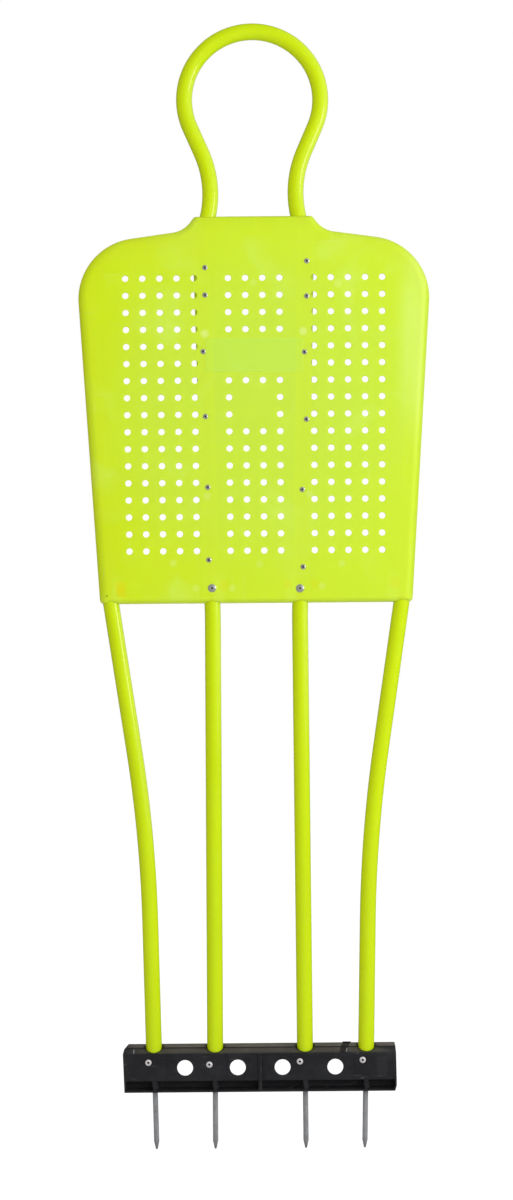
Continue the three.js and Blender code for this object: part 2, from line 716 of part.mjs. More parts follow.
function baseBar() {
  const insideBack = BAR_BACK - 2;
  const halfRib = CENTRE_RIB_WIDTH / 2;
  const body = alongBar(barSection(0, 0, BAR_BACK), 0);
  const hollows = [
    alongBar(barSection(BAR_WALL, FLOOR_TOP, BAR_BACK + 1), BAR_WALL),
    recess(BAR_FRONT - 1, WEB_FRONT),
    recess(WEB_FRONT + BAR_WALL, BAR_BACK + 1),
  ];
  const windows = FLOOR_WINDOWS.map((along) =>
    block(along, [WEB_FRONT + BAR_WALL, BAR_BACK + 1], [FLOOR_UNDERSIDE - 1, FLOOR_TOP + 1]),
  );
  const gussets = LEGS.map((leg) =>
    recessRib(leg.side * leg.groundX, GUSSET.halfTop, GUSSET.halfFoot, BAR_FRONT + 1),
  );
  const backRibs = BACK_RIB_PLACES.map((x) =>
    block(
      [x - BACK_RIB_WIDTH / 2, x + BACK_RIB_WIDTH / 2],
      [BAR_FRONT + BAR_WALL - 1, insideBack],
      [FLOOR_TOP - 1, BAR_HEIGHT - BAR_WALL + 1],
    ),
  );
  const { halfWidth, raise } = CENTRE_BAND;
  const band = block(
    [-halfWidth, halfWidth],
    [BAR_FRONT - raise, BAR_FRONT + 1],
    [FLOOR_UNDERSIDE, BAR_HEIGHT - BAR_CHAMFER - 1],
  );
  const catchTab = block(
    [CATCH.x - CATCH.halfWidth, CATCH.x + CATCH.halfWidth],
    [BAR_BACK - CATCH.depth, BAR_BACK],
    [BAR_HEIGHT - 1, BAR_HEIGHT + CATCH.height],
  );
  const sockets = LEGS.map((leg) => standing(leg, FLOOR_TOP - 1, SOCKET_TOP, SOCKET_RADIUS, TUBE_SIDES));
  const bosses = LEGS.map((leg) => standing(leg, BAR_WALL - 1, FLOOR_UNDERSIDE + 1, SPIKE_BOSS_RADIUS, SPIKE_SIDES));

  const legHoles = LEGS.map((leg) =>
    standing(leg, FLOOR_TOP, BAR_HEIGHT + 5, TUBE_RADIUS + TUBE_CLEARANCE, TUBE_SIDES),
  );
  const spikeHoles = LEGS.map((leg) => standing(leg, -1, FLOOR_TOP + 1, SPIKE_RADIUS + TUBE_CLEARANCE, SPIKE_SIDES));
  const carryShapes = CARRY_HOLE_PLACES.map((x) => roundHole(x, CARRY_HOLE_HEIGHT, CARRY_HOLE_RADIUS, CARRY_HOLE_SIDES));
  const carryHoles = solidOf(throughY(carryShapes, BAR_FRONT - 1, BAR_FRONT + BAR_WALL + 1));

  const shell = body.subtract(join([...hollows, ...windows]));
  const additions = [recessRib(0, halfRib, halfRib, BAR_FRONT), band, catchTab, ...gussets, ...backRibs];
  const solid = join([shell, ...additions, ...sockets, ...bosses]);
  return solid.subtract(join([...legHoles, ...spikeHoles, carryHoles, drilled(baseRivets, BAR_FRONT - 1, 0)]));
}

// Feet

function groundSpike() {
  const profile = [
    [0, -SPIKE_DEPTH],
    [SPIKE_TIP_RADIUS, -SPIKE_DEPTH],
    [SPIKE_RADIUS, SPIKE_POINT - SPIKE_DEPTH],
    [SPIKE_RADIUS, SPIKE_TOP],
    [0, SPIKE_TOP],
  ];
  return turned(profile, SPIKE_SIDES);
}

function legPlug() {
  const outside = TUBE_RADIUS - TUBE_WALL - TUBE_CLEARANCE;
  const inside = SPIKE_RADIUS + TUBE_CLEARANCE;
  const bottom = FOOT_HEIGHT + TOUCH_GAP;
  const profile = [
    [inside, bottom],
    [outside, bottom],
    [outside, PLUG_TOP],
    [inside, PLUG_TOP],
    [inside, bottom],
  ];
  return turned(profile, TUBE_SIDES);
}

function named(name, geometry, material) {
  const mesh = new THREE.Mesh(geometry, material);
  mesh.name = name;
  return mesh;
}

const mannequin = new THREE.Group();
mannequin.add(named("inner_frame_tube", geometryOf(innerFrameTube()), TUBE_COATING));
for (const side of Object.keys(SIDES)) {
  mannequin.add(named(`outer_leg_tube_${side}`, geometryOf(outerLegTube(side)), TUBE_COATING));
}
mannequin.add(named("torso_panel", geometryOf(torsoPanel()), PANEL_PLASTIC));
mannequin.add(named("base_bar", geometryOf(baseBar()), BAR_PLASTIC));

for (const leg of LEGS) {
  const foot = new THREE.Group();
  foot.applyMatrix4(footMatrix(leg));
  foot.add(named(`leg_plug_${leg.name}`, legPlug(), PLUG_PLASTIC));
  foot.add(named(`ground_spike_${leg.name}`, groundSpike(), SPIKE_STEEL));
  mannequin.add(foot);
}

function addRivets(places, faceY) {
  for (const { name, size, x, z } of places) {
    const mesh = named(name, rivet(size), RIVET_METAL);
    mesh.position.set(x, faceY - TOUCH_GAP, z);
    mannequin.add(mesh);
  }
}

addRivets(panelRivets, panelFront);
addRivets(baseRivets, BAR_FRONT);

export default mannequin;
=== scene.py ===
import math

import bmesh
import bpy
from mathutils import Matrix, Vector
from mathutils.geometry import delaunay_2d_cdt


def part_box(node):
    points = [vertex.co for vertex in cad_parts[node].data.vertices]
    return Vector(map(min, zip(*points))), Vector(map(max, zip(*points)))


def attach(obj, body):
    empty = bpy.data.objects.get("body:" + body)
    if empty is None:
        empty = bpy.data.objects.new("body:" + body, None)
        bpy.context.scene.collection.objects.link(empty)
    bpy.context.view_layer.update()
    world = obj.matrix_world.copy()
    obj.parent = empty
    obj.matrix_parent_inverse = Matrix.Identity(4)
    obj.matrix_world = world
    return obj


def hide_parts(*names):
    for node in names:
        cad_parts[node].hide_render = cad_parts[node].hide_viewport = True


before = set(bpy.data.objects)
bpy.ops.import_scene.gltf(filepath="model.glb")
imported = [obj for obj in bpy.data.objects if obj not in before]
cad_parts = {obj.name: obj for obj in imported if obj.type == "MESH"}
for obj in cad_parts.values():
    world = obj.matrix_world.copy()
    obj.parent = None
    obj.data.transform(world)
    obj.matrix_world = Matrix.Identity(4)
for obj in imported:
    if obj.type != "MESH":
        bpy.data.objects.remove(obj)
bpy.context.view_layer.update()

# Lengths are in millimetres, and MM turns them into Blender's metres.
# X runs across the shoulders, -Y is the front and Z is up from the base bar's underside.
MM = 0.001

# Camera: the photograph's view, with its whole frame in pixels
IMAGE_HEIGHT = 1200
FOCAL_LENGTH_PX = 1776
CAMERA_DISTANCE = 3000
CAMERA_HEIGHT = 826
CAMERA_ASIDE = 0.3
CAMERA_ROLL = math.radians(-0.48)
FLOOR_HEIGHT = -100
FLOOR_HALF = 9000
WORLD_LEVEL = 0.605  # the studio's light, to which the trend adds to the right, behind and above
WORLD_TREND = (0.07, 0.2, 0.1)

# Frame tubes
TUBE_RADIUS = 13.5
TUBE_BORE = 12.3
TUBE_SEGMENTS = 48
FOOT_HEIGHT = 22.5
HEAD_TOP = 1799.3
HEAD_RADIUS = 115
NECK_SLOPE = math.radians(23.7)
NECK_WAIST = 72
NECK_RADIUS = 172
NECK_FLARE = math.radians(19.5)
CHEST_RADIUS = 118
CHEST_TAPER = math.radians(1.4)
INNER_KNEE_HEIGHT = 800
INNER_KNEE_RADIUS = 300
INNER_FOOT_X = 76
OUTER_FOOT_X = 178.2
OUTER_KNEE = Vector((186.8, 430))
OUTER_KNEE_RADIUS = 2300
OUTER_THIGH_SLOPE = math.radians(8.5)
HIP_RADIUS = 300
PANEL_TO_TUBE = 17.5  # from the panel's outline to the outer tube's axis
SHOULDER_TUBE_RADIUS = 85.9
COPE_DEPTH = 7
BEAD = {"stations": 72, "sides": 10, "radius": 2.3, "ripple": 0.25, "ripples": 19, "gap": 0.4}

# Torso panel: corners of its right half, each with the radius of its rounding
PANEL_CORNERS = [
    (Vector((99.8, 1473.3)), 8),
    (Vector((117.6, 1449.8)), 45),
    (Vector((302.24, 1424.6)), 103.4),
    (Vector((263.7, 820.8)), 8),
]
# the kinds of the outline's runs, from its right top corner round, and how far each one's rim is rounded
PANEL_RUNS = ["flare", "side", "side", "hem", "side", "side", "flare", "top"]
RIM_ROUND = {"top": 7, "flare": 12, "side": 17, "hem": 10}
PANEL_FRONT = -17
PANEL_WALL = 3
PANEL_RIM_BACK = 10
RIM_STEPS = 10
CORNER_STEP = math.radians(3.5)
SMALLEST_ROUNDING = 0.6
NOTCH_RADIUS = 14.2
NOTCH_STEPS = 24
NOTCH_REACH = 20

HOLE_RADIUS = 5.4
HOLE_EASE = 0.5  # how far the hole's edge is rounded
HOLE_SEGMENTS = 28
HOLE_ROWS = 17
HOLE_COLUMNS = 16
TOP_ROW_HEIGHT = 1367.5
ROW_PITCH = 28.65
COLUMN_PITCH_TOP = 28.8
COLUMN_PITCH_HEM = 28.3
TUBE_COLUMNS = (5, 10)  # left out over the inner tube
LABEL_ROWS = (4, 5)  # left out between the tubes
FRAMED_ROWS = (7, 8)  # only their outer holes are kept between the tubes
LABEL = {"half_width": 81.5, "bottom": 1210, "top": 1265.5, "corner": 6, "raise": 0.5, "slope": 0.4}
LABEL_CORNER_STEPS = 6
NEARBY = 200  # more than any hole or the label field measures across

# Base bar
BAR_FRONT_VIEW = [
    (-228.4, 0), (-230.7, 65), (-223, 73.7), (228.2, 73.7), (229.2, 19.2), (229.2, 9), (226.5, 0),
]
BAR_FRONT = -17.5
BAR_BACK = 16.5
BAR_HEIGHT = 73.7
BAR_TOP_STEP = [(-5, 72.8), (-5, 71.4), (-17.5, 64.9)]  # Y and Z down the front of the bar's top
BAR_WALL = 3
BAR_EASE = 0.5
FLOOR_UNDERSIDE = 19.2
FLOOR_TOP = 21.6
FLOOR_WINDOWS = ((-158, -95), (-57, 57), (95, 158))
WEB_FRONT = 4
GUSSET_HALF_TOP = 4
GUSSET_HALF_FOOT = 2
CENTRE_RIB_HALF = 3.1
CENTRE_BAND = {"half_width": 3.5, "raise": 0.5, "groove": 1.2, "below_slope": 1}
CATCH = {"x": 147, "half_width": 7.2, "depth": 3, "height": 1.4}
GUSSET_SETBACK = 0.6
BACK_RIB_WIDTH = 2.5
BACK_RIB_SETBACK = 2
BACK_RIB_PLACES = (-157.5, -55.6, 0, 55.6, 157.5)
MOULD_LINES = (-157.5, -55.6, 157.5)
RIB_INSET = 1.2  # ribs and collars end inside the bar's wall
COLLAR_BOTTOM = 50
CARRY_HOLE_RADIUS = 13.4
CARRY_HOLE_HEIGHT = 41
CARRY_HOLE_PLACES = (-126.2, -37.6, 37.6, 126.2)
SOCKET_TOP = 36
SOCKET_RADIUS = 16.4
LEG_HOLE_RADIUS = 14.9
SPIKE_BOSS_RADIUS = 7.5
SPIKE_RADIUS = 4.43
SPIKE_DEPTH = 100
SPIKE_POINT = 13.5
SPIKE_TIP_RADIUS = 1.7
SPIKE_TOP = 39
PLAY = 0.4  # round the spikes and the plugs
PLUG_BOTTOM = 22.8
PLUG_TOP = 41
BASE_RIVETS = {  # X from the leg's axis, and Z
    "outer_left": Vector((-9, 50.4)),
    "inner_left": Vector((-9.5, 46.4)),
    "inner_right": Vector((-9.2, 50.6)),
    "outer_right": Vector((-6.7, 52.3)),
}
DRILLING_RADIUS = 2.6
OVERLAP = 1  # how far joined or cut solids run into each other
RUN_HALF = 240  # half of the bar's run before it is cut to its front view
MARGIN = 5  # how far the larger cutters reach past the bar

LEGS = ("outer_left", "inner_left", "inner_right", "outer_right")


def cross(a, b):
    return a.x * b.y - a.y * b.x


def on_circle(centre, radius, angle):
    return centre + Vector((math.cos(angle), math.sin(angle))) * radius


def arc(centre, radius, start, turn, step=math.radians(2)):
    """Points along an arc from an angle through a turn, positive anticlockwise."""
    count = max(2, math.ceil(abs(turn) / step))
    return [on_circle(centre, radius, start + turn * i / count) for i in range(count + 1)]


def rounded_corner(corner, arriving, leaving, radius):
    """The centre, first angle and turn of the arc that rounds a corner between two directions."""
    turn = math.atan2(cross(arriving, leaving), arriving.dot(leaving))
    start = corner - arriving * (radius * math.tan(abs(turn) / 2))
    centre = start + left_of(arriving) * math.copysign(radius, turn)
    outwards = start - centre
    return centre, math.atan2(outwards.y, outwards.x), turn


def bend(corner, arriving, leaving, radius, step=math.radians(2)):
    centre, start, turn = rounded_corner(corner, arriving, leaving, radius)
    return arc(centre, radius, start, turn, step)


def direction(start, end):
    return (end - start).normalized()


def left_of(along):
    return Vector((-along.y, along.x))


def meeting(point, along, other_point, other_along):
    """Where two lines, each a point and a direction, meet."""
    return point + along * (cross(other_point - point, other_along) / cross(along, other_along))


def mirrored(points):
    return [Vector((-point.x, point.y)) for point in points]


def inner_half_path():
    """The inner tube's axis in X and Z on the right, from its foot to the top of the head."""
    head = Vector((0, HEAD_TOP - TUBE_RADIUS - HEAD_RADIUS))
    neck_x = NECK_WAIST + NECK_RADIUS
    radii = HEAD_RADIUS + NECK_RADIUS
    neck_run = (radii * math.cos(NECK_SLOPE) - neck_x) / math.sin(NECK_SLOPE)
    neck = Vector((neck_x, head.y - radii * math.sin(NECK_SLOPE) - neck_run * math.cos(NECK_SLOPE)))
    chest = on_circle(neck, -NECK_RADIUS - CHEST_RADIUS, NECK_FLARE)
    chest_start = on_circle(chest, CHEST_RADIUS, -CHEST_TAPER)
    thigh = Vector((math.sin(CHEST_TAPER), math.cos(CHEST_TAPER)))
    knee = chest_start + thigh * ((INNER_KNEE_HEIGHT - chest_start.y) / thigh.y)
    foot = Vector((INNER_FOOT_X, FOOT_HEIGHT))
    return [
        foot,
        *bend(knee, direction(foot, knee), thigh, INNER_KNEE_RADIUS, math.radians(0.5)),
        *arc(chest, CHEST_RADIUS, -CHEST_TAPER, CHEST_TAPER + NECK_FLARE),
        *arc(neck, NECK_RADIUS, math.pi + NECK_FLARE, -NECK_FLARE - NECK_SLOPE)[1:],
        *arc(head, HEAD_RADIUS, -NECK_SLOPE, math.pi / 2 + NECK_SLOPE),
    ]


INNER_HALF = inner_half_path()


def run_at(path, height):
    """The two points of a rising path on either side of a height."""
    return next((low, high) for low, high in zip(path, path[1:]) if high.y >= height)


def inner_axis(height):
    """The inner tube's distance from the middle at a height below the neck."""
    low, high = run_at(INNER_HALF, height)
    return low.x + (high.x - low.x) * (height - low.y) / (high.y - low.y)


def outer_path():
    """The outer tube's axis on the right, from its foot to its weld on the inner tube."""
    neck, shoulder, hem = (PANEL_CORNERS[i][0] for i in (1, 2, 3))
    up = direction(hem, shoulder)
    inwards = direction(shoulder, neck)
    side = hem + left_of(up) * PANEL_TO_TUBE
    top = neck + left_of(inwards) * PANEL_TO_TUBE
    foot = Vector((OUTER_FOOT_X, FOOT_HEIGHT))
    shin = direction(foot, OUTER_KNEE)
    thigh = Vector((math.sin(OUTER_THIGH_SLOPE), math.cos(OUTER_THIGH_SLOPE)))
    hip = meeting(OUTER_KNEE, thigh, side, up)
    shoulder_bend = meeting(side, up, top, inwards)
    weld = top + inwards * ((inner_axis(top.y) + COPE_DEPTH - top.x) / inwards.x)
    return [
        foot,
        *bend(OUTER_KNEE, shin, thigh, OUTER_KNEE_RADIUS, math.radians(0.4)),
        *bend(hip, thigh, up, HIP_RADIUS, math.radians(0.5)),
        *bend(shoulder_bend, up, inwards, SHOULDER_TUBE_RADIUS),
        weld,
    ]


OUTER_HALF = outer_path()


def leg_axis(leg, height):
    """A leg's axis at a height below its knee: the place across and the lean outwards."""
    sign = -1 if leg.endswith("left") else 1
    path = OUTER_HALF if leg.startswith("outer") else INNER_HALF
    shin = direction(path[0], path[1])
    x = path[0].x + shin.x / shin.y * (height - FOOT_HEIGHT)
    return sign * x, sign * math.atan2(shin.x, shin.y)


# Meshes


def piece(name, verts, faces, material, smooth_angle=40):
    """A new object from vertices in millimetres, smooth except over sharp edges."""
    mesh = bpy.data.meshes.new(name)
    mesh.from_pydata([Vector(v) * MM for v in verts], [], faces)
    cleaned = bmesh.new()
    cleaned.from_mesh(mesh)
    bmesh.ops.remove_doubles(cleaned, verts=cleaned.verts, dist=1e-7)
    bmesh.ops.recalc_face_normals(cleaned, faces=cleaned.faces)
    cleaned.to_mesh(mesh)
    cleaned.free()
    finish_mesh(mesh, material, smooth_angle)
    made = bpy.data.objects.new(name, mesh)
    bpy.context.scene.collection.objects.link(made)
    return made


def finish_mesh(mesh, material, smooth_angle):
    mesh.shade_smooth()
    mesh.set_sharp_from_angle(angle=math.radians(smooth_angle))
    mesh.materials.clear()
    mesh.materials.append(material)


def ring_faces(first, second, count):
    """Quads between two rings of vertices, given by the index of each ring's first vertex."""
    return [(first + i, first + (i + 1) % count, second + (i + 1) % count, second + i) for i in range(count)]


def closed_solid(first, second):
    """The vertices and faces of a closed solid between two loops of as many points."""
    count = len(first)
    ends = [tuple(range(count)), tuple(range(2 * count - 1, count - 1, -1))]
    return first + second, ends + ring_faces(0, count, count)


def swept_tube(name, path, material):
    """A hollow tube along a path in X and Z, with open ends."""
    verts, faces = [], []
    for radius in (TUBE_RADIUS, TUBE_BORE):
        for i, point in enumerate(path):
            before = path[max(i - 1, 0)]
            after = path[min(i + 1, len(path) - 1)]
            along = direction(before, after)
            for k in range(TUBE_SEGMENTS):
                angle = 2 * math.pi * k / TUBE_SEGMENTS
                aside = radius * math.sin(angle)
                y = -radius * math.cos(angle)
                verts.append((point.x - along.y * aside, y, point.y + along.x * aside))
    rings = len(path)
    for wall in (0, rings):
        for i in range(rings - 1):
            start = (wall + i) * TUBE_SEGMENTS
            faces += ring_faces(start, start + TUBE_SEGMENTS, TUBE_SEGMENTS)
    for end in (0, rings - 1):
        faces += ring_faces(end * TUBE_SEGMENTS, (rings + end) * TUBE_SEGMENTS, TUBE_SEGMENTS)
    return piece(name, verts, faces, material)


def turned(name, profile, material, segments):
    """A turned piece about Z from pairs of a radius and a height."""
    verts, faces = [], []
    for radius, height in profile:
        for i in range(segments):
            angle = 2 * math.pi * i / segments
            verts.append((radius * math.cos(angle), radius * math.sin(angle), height))
    for i in range(len(profile) - 1):
        faces += ring_faces(i * segments, (i + 1) * segments, segments)
    return piece(name, verts, faces, material)


# Materials


class Graph:
    """Short names for the nodes that the materials and the world use."""

    def __init__(self, owner, shader="Principled BSDF", coordinates="Object"):
        self.owner = owner
        owner.use_nodes = True
        self.nodes, self.links = owner.node_tree.nodes, owner.node_tree.links
        self.shader = self.nodes[shader]
        self.colour = None
        self.place = self.nodes.new("ShaderNodeTexCoord").outputs[coordinates]

    def feed(self, socket, value):
        """Sets a socket to a number, colour or vector, or links it to an output."""
        if isinstance(value, (int, float)):
            socket.default_value = value
        elif isinstance(value, tuple):
            socket.default_value = (*value, 1) if len(socket.default_value) == 4 else value
        else:
            self.links.new(value, socket)

    def node(self, kind, output, inputs, **settings):
        """One output of a new node whose inputs are given by name or number."""
        made = self.nodes.new(f"ShaderNode{kind}")
        for name, setting in settings.items():
            setattr(made, name, setting)
        for name, value in inputs.items():
            self.feed(made.inputs[name], value)
        return made.outputs[output]

    def set(self, **sockets):
        for name, value in sockets.items():
            self.feed(self.shader.inputs[name.replace("_", " ")], value)

    def stretched(self, scale):
        return self.node("Mapping", "Vector", {"Vector": self.place, "Scale": scale})

    def noise(self, scale, detail=3, roughness=0.5, place=None, distortion=0):
        inputs = {"Vector": place or self.place, "Scale": scale, "Detail": detail}
        return self.node("TexNoise", "Fac", inputs | {"Roughness": roughness, "Distortion": distortion})

    def remap(self, value, low, high, to_low=0, to_high=1, smooth=False):
        inputs = {"Value": value, "From Min": low, "From Max": high, "To Min": to_low, "To Max": to_high}
        kind = "SMOOTHSTEP" if smooth else "LINEAR"
        return self.node("MapRange", "Result", inputs, interpolation_type=kind)

    def cloudy(self, scale, detail, low=0, high=1, roughness=0.5):
        """Noise that wanders between a low and a high value."""
        return self.remap(self.noise(scale, detail, roughness), 0.3, 0.7, low, high)

    def math(self, operation, a, b=None, clamp=False):
        inputs = {0: a} if b is None else {0: a, 1: b}
        return self.node("Math", "Value", inputs, operation=operation, use_clamp=clamp)

    def mix(self, factor, a, b):
        return self.node("Mix", "Result", {"Factor": factor, "A": a, "B": b}, data_type="RGBA")

    def paint(self, colour, mask, share=1):
        """Lays a share of a colour over the base colour where a mask is 1."""
        amount = mask if share == 1 else self.math("MULTIPLY", mask, share)
        self.colour = self.mix(amount, self.colour, colour)

    def axes(self, vector=None, unit=MM):
        """The X, Y and Z of a place, in millimetres."""
        node = self.nodes.new("ShaderNodeSeparateXYZ")
        self.links.new(vector or self.place, node.inputs["Vector"])
        return [self.math("DIVIDE", node.outputs[axis], unit) for axis in "XYZ"]

    def facing(self):
        """How far the surface faces along X, Y and Z, each from -1 to 1."""
        return self.axes(self.nodes.new("ShaderNodeNewGeometry").outputs["Normal"], 1)

    def spot(self, x, z, centre, radius, soft=0.5):
        """1 inside a round spot seen from the front, with a soft edge."""
        aside = self.math("SUBTRACT", x, centre[0])
        above = self.math("SUBTRACT", z, centre[1])
        squares = self.math("ADD", self.math("MULTIPLY", aside, aside), self.math("MULTIPLY", above, above))
        return self.remap(squares, (radius * (1 - soft)) ** 2, (radius * (1 + soft)) ** 2, 1, 0, True)

    def spots(self, x, z, spots, soft):
        """Round spots, each with its centre, radius and strength."""
        return self.sum_of(*(self.math("MULTIPLY", self.spot(x, z, at, r, soft), k) for at, r, k in spots))

    def band(self, value, middle, half, soft):
        """1 where a value is within half of a middle, with soft edges."""
        away = self.math("ABSOLUTE", self.math("SUBTRACT", value, middle))
        return self.remap(away, half - soft, half + soft, 1, 0, True)

    def within(self, value, low, high, soft):
        return self.band(value, (low + high) / 2, (high - low) / 2, soft)

    def all_of(self, *values):
        result = values[0]
        for value in values[1:]:
            result = self.math("MULTIPLY", result, value)
        return result

    def sum_of(self, *values):
        result = values[0]
        for value in values[1:]:
            result = self.math("ADD", result, value, True)
        return result

    def bump(self, *heights):
        """Bump from pairs of a height and its depth in millimetres, one on another."""
        normal = {}
        for height, depth in heights:
            inputs = {"Height": height, "Distance": depth * MM, **normal}
            normal = {"Normal": self.node("Bump", "Normal", inputs)}
        self.set(**normal)


def surface(name):
    return Graph(bpy.data.materials.new(name))


def tube_coating():
    """Sprayed coating with a faint orange peel, a little dulled and scuffed, and painted shade that yellows
    the sides facing left.
    """
    g = surface("tube_coating")
    drift = g.remap(g.noise(5, 3), 0.35, 0.65)
    streaks = g.remap(g.noise(14, 4, 0.6, g.stretched((3, 3, 0.35))), 0.42, 0.7)
    specks = g.remap(g.noise(260, 2), 0.7, 0.76)
    g.colour = g.mix(drift, (0.59, 0.78, 0), (0.625, 0.82, 0))
    g.paint((0.66, 0.83, 0.004), streaks, 0.2)
    g.paint((0.5, 0.6, 0.05), specks, 0.3)
    # painted shade: sides that face left, away from the lights, turn yellower and less green
    g.paint((0.615, 0.725, 0), g.remap(g.facing()[0], -0.95, 0, 0.9, 0))
    g.set(Base_Color=g.colour, Roughness=g.cloudy(30, 4, 0.15, 0.2), Specular_IOR_Level=0.6)
    g.bump((g.noise(330, 2), 0.008), (g.noise(24, 2), 0.09))
    return g.owner


# X and Z, radius and strength of the pale stress marks
PANEL_BLUSHES = [
    ((-83, 1274), 5.5, 0.7), ((82.5, 1277), 5.5, 0.7), ((-81, 1001), 5, 0.35), ((91, 1003.5), 5, 0.35),
    ((141.5, 1357), 6, 0.3), ((-0.5, 1359.5), 5, 0.25), ((144, 886.5), 5, 0.3), ((-139, 889), 5, 0.3),
    ((6, 886.5), 5, 0.25), ((-40, 846.5), 5, 0.3), ((111, 848.5), 5, 0.3), ((-101, 846.5), 5, 0.3),
]

# the same of the yellow stains beside the tubes near the hem
PANEL_STAINS = [
    ((-227, 851), 7.5, 0.75), ((-227, 840), 7, 0.8), ((-54, 850), 7, 0.4),
    ((54, 853), 6, 0.35), ((98, 853), 6, 0.35), ((233, 853), 8, 0.3),
]
BAND_FEET = (-234, -61, 58, 230)  # X of the paler places over the tubes at the hem


def panel_plastic():
    """Moulded translucent plastic: cloudy, with a painted sheen paler to one side, a painted highlight near
    the right edge, and the tubes behind it faintly seen.
    """
    g = surface("panel_plastic")
    x, y, z = g.axes()
    cloud = g.remap(g.noise(5.5, 5, 0.62, distortion=0.6), 0.32, 0.68)
    # painted sheen: the base colour turns paler and bluer to the right, where the light falls, wandered by
    # the cloud
    across = g.remap(g.math("ADD", x, g.math("MULTIPLY", cloud, 90)), -230, 330, 0, 1, True)
    milky = g.remap(g.noise(9, 4, 0.55, distortion=0.8), 0.54, 0.74)
    # painted highlight: a pale patch near the right edge, where the light on that side shines on the face
    painted_highlight = g.all_of(g.within(x, 254, 292, 25), g.within(z, 1130, 1390, 90), g.remap(cloud, 0, 1, 0.6, 1))
    g.colour = g.mix(across, (0.635, 0.795, 0.004), (0.625, 0.815, 0.026))
    g.paint((0.56, 0.77, 0.085), g.spot(x, z, (10, 1150), 190, 0.75), 0.6)
    g.paint((0.635, 0.84, 0.022), cloud, 0.4)
    g.paint((0.68, 0.86, 0.07), g.cloudy(38, 5, roughness=0.65), 0.14)
    g.paint((0.66, 0.88, 0.16), milky, 0.4)
    g.paint((0.715, 0.94, 0.26), painted_highlight, 0.8)
    label_field(g, x, z)
    tubes_behind_and_edge_shade(g, x, z)
    turned_back = g.remap(y, PANEL_FRONT + 2, PANEL_FRONT + 15)
    rim_colours(g, x, z, turned_back)
    panel_marks(g, x, z)

    # fine scuffs across the face
    scuffs = g.remap(g.noise(16, 3, 0.5, g.stretched((9, 1, 1.4)), 0.4), 0.66, 0.72)
    cross_scuffs = g.remap(g.noise(13, 3, 0.5, g.stretched((1.2, 1, 10)), 0.4), 0.67, 0.72)
    worn = g.math("MULTIPLY", g.sum_of(scuffs, cross_scuffs), g.remap(cloud, 0.3, 0.9, 0.02, 0.16))
    g.paint((0.75, 0.88, 0.3), worn)
    g.set(
        Base_Color=g.colour,
        Roughness=g.cloudy(20, 5, 0.42, 0.54, 0.6),
        Subsurface_Weight=0.4,
        Subsurface_Radius=(1, 1, 0.25),
        Subsurface_Scale=0.004,
        Specular_IOR_Level=g.all_of(g.remap(turned_back, 0, 1, 0.32, 0.08), g.remap(x, -285, -190, 0.4, 1)),
    )
    g.bump((g.noise(260, 3), 0.03), (g.noise(11, 2), 0.35), (worn, 0.02))
    return g.owner


def label_field(g, x, z):
    """The label field, greener than the rest, with a paler line along its edge."""
    half, low, high, line = LABEL["half_width"], LABEL["bottom"], LABEL["top"], 1.6
    field = g.all_of(g.band(x, 0, half, 0.8), g.within(z, low, high, 0.8))
    core = g.all_of(g.band(x, 0, half - line, 0.6), g.within(z, low + line, high - line, 0.6))
    g.paint((0.53, 0.82, 0.1), field, 0.5)
    g.paint((0.72, 0.9, 0.25), g.math("SUBTRACT", field, core, True), 0.16)


def tubes_behind_and_edge_shade(g, x, z):
    """Soft paler bands over the tubes, and painted shade in a deeper line along the right edge, where the
    rim turns from the light.
    """
    aside = g.math("ABSOLUTE", x)
    # the inner tube's axis, as one straight line from its knee to the neck
    tube = g.remap(z, INNER_KNEE_HEIGHT, 1450, inner_axis(INNER_KNEE_HEIGHT), inner_axis(1400))
    inner = g.math("SUBTRACT", aside, tube)
    shoulder, hem = PANEL_CORNERS[2][0], PANEL_CORNERS[3][0]
    outer = g.math("SUBTRACT", g.remap(z, hem.y, shoulder.y, hem.x, shoulder.x), aside)
    bands = g.sum_of(
        g.all_of(g.band(inner, 0, 14, 3), g.remap(z, 1455, 1475, 1, 0)),
        g.all_of(g.within(outer, 4.5, 31, 3), g.remap(z, 1330, 1400, 1, 0, True)),
    )
    # painted shade: a deeper line on the right side's outermost strip, where the rim turns away from the
    # light
    right_edge_shade = g.all_of(g.remap(outer, 9, 5.5), g.remap(x, 150, 240), g.remap(z, 1400, 1340))
    g.paint((0.66, 0.86, 0.03), bands, 0.3)
    g.paint((0.55, 0.76, 0.01), right_edge_shade, 0.7)


def rim_colours(g, x, z, turned_back):
    """The colours of the turned-back wall, with painted shade on its left and right sides and painted light
    along the hem, the painted shade along the top and the yellower left side.
    """
    # yellower in patches towards the left side
    yellower_left = g.all_of(g.remap(x, -150, -300, 0, 1, True), g.remap(g.noise(3.5, 3), 0.4, 0.62))
    # painted shade: the left side of the turned-back wall deepens towards orange, away from the light
    g.paint((0.6, 0.52, 0.002), g.all_of(turned_back, g.remap(x, -150, -330)), 0.8)
    # painted shade: the right side of the turned-back wall darkens where it turns from the light
    g.paint((0.5, 0.68, 0.01), g.all_of(turned_back, g.remap(x, 150, 280)), 0.6)
    # painted light: the turned-back wall along the hem is paler, as if lit from below
    g.paint((0.82, 0.9, 0.24), g.all_of(turned_back, g.remap(z, 836, 822)), 0.7)
    g.paint((0.55, 0.7, 0.03), g.remap(z, 1445, 1474, 0, 0.4))
    g.paint((0.61, 0.74, 0), yellower_left, 0.4)


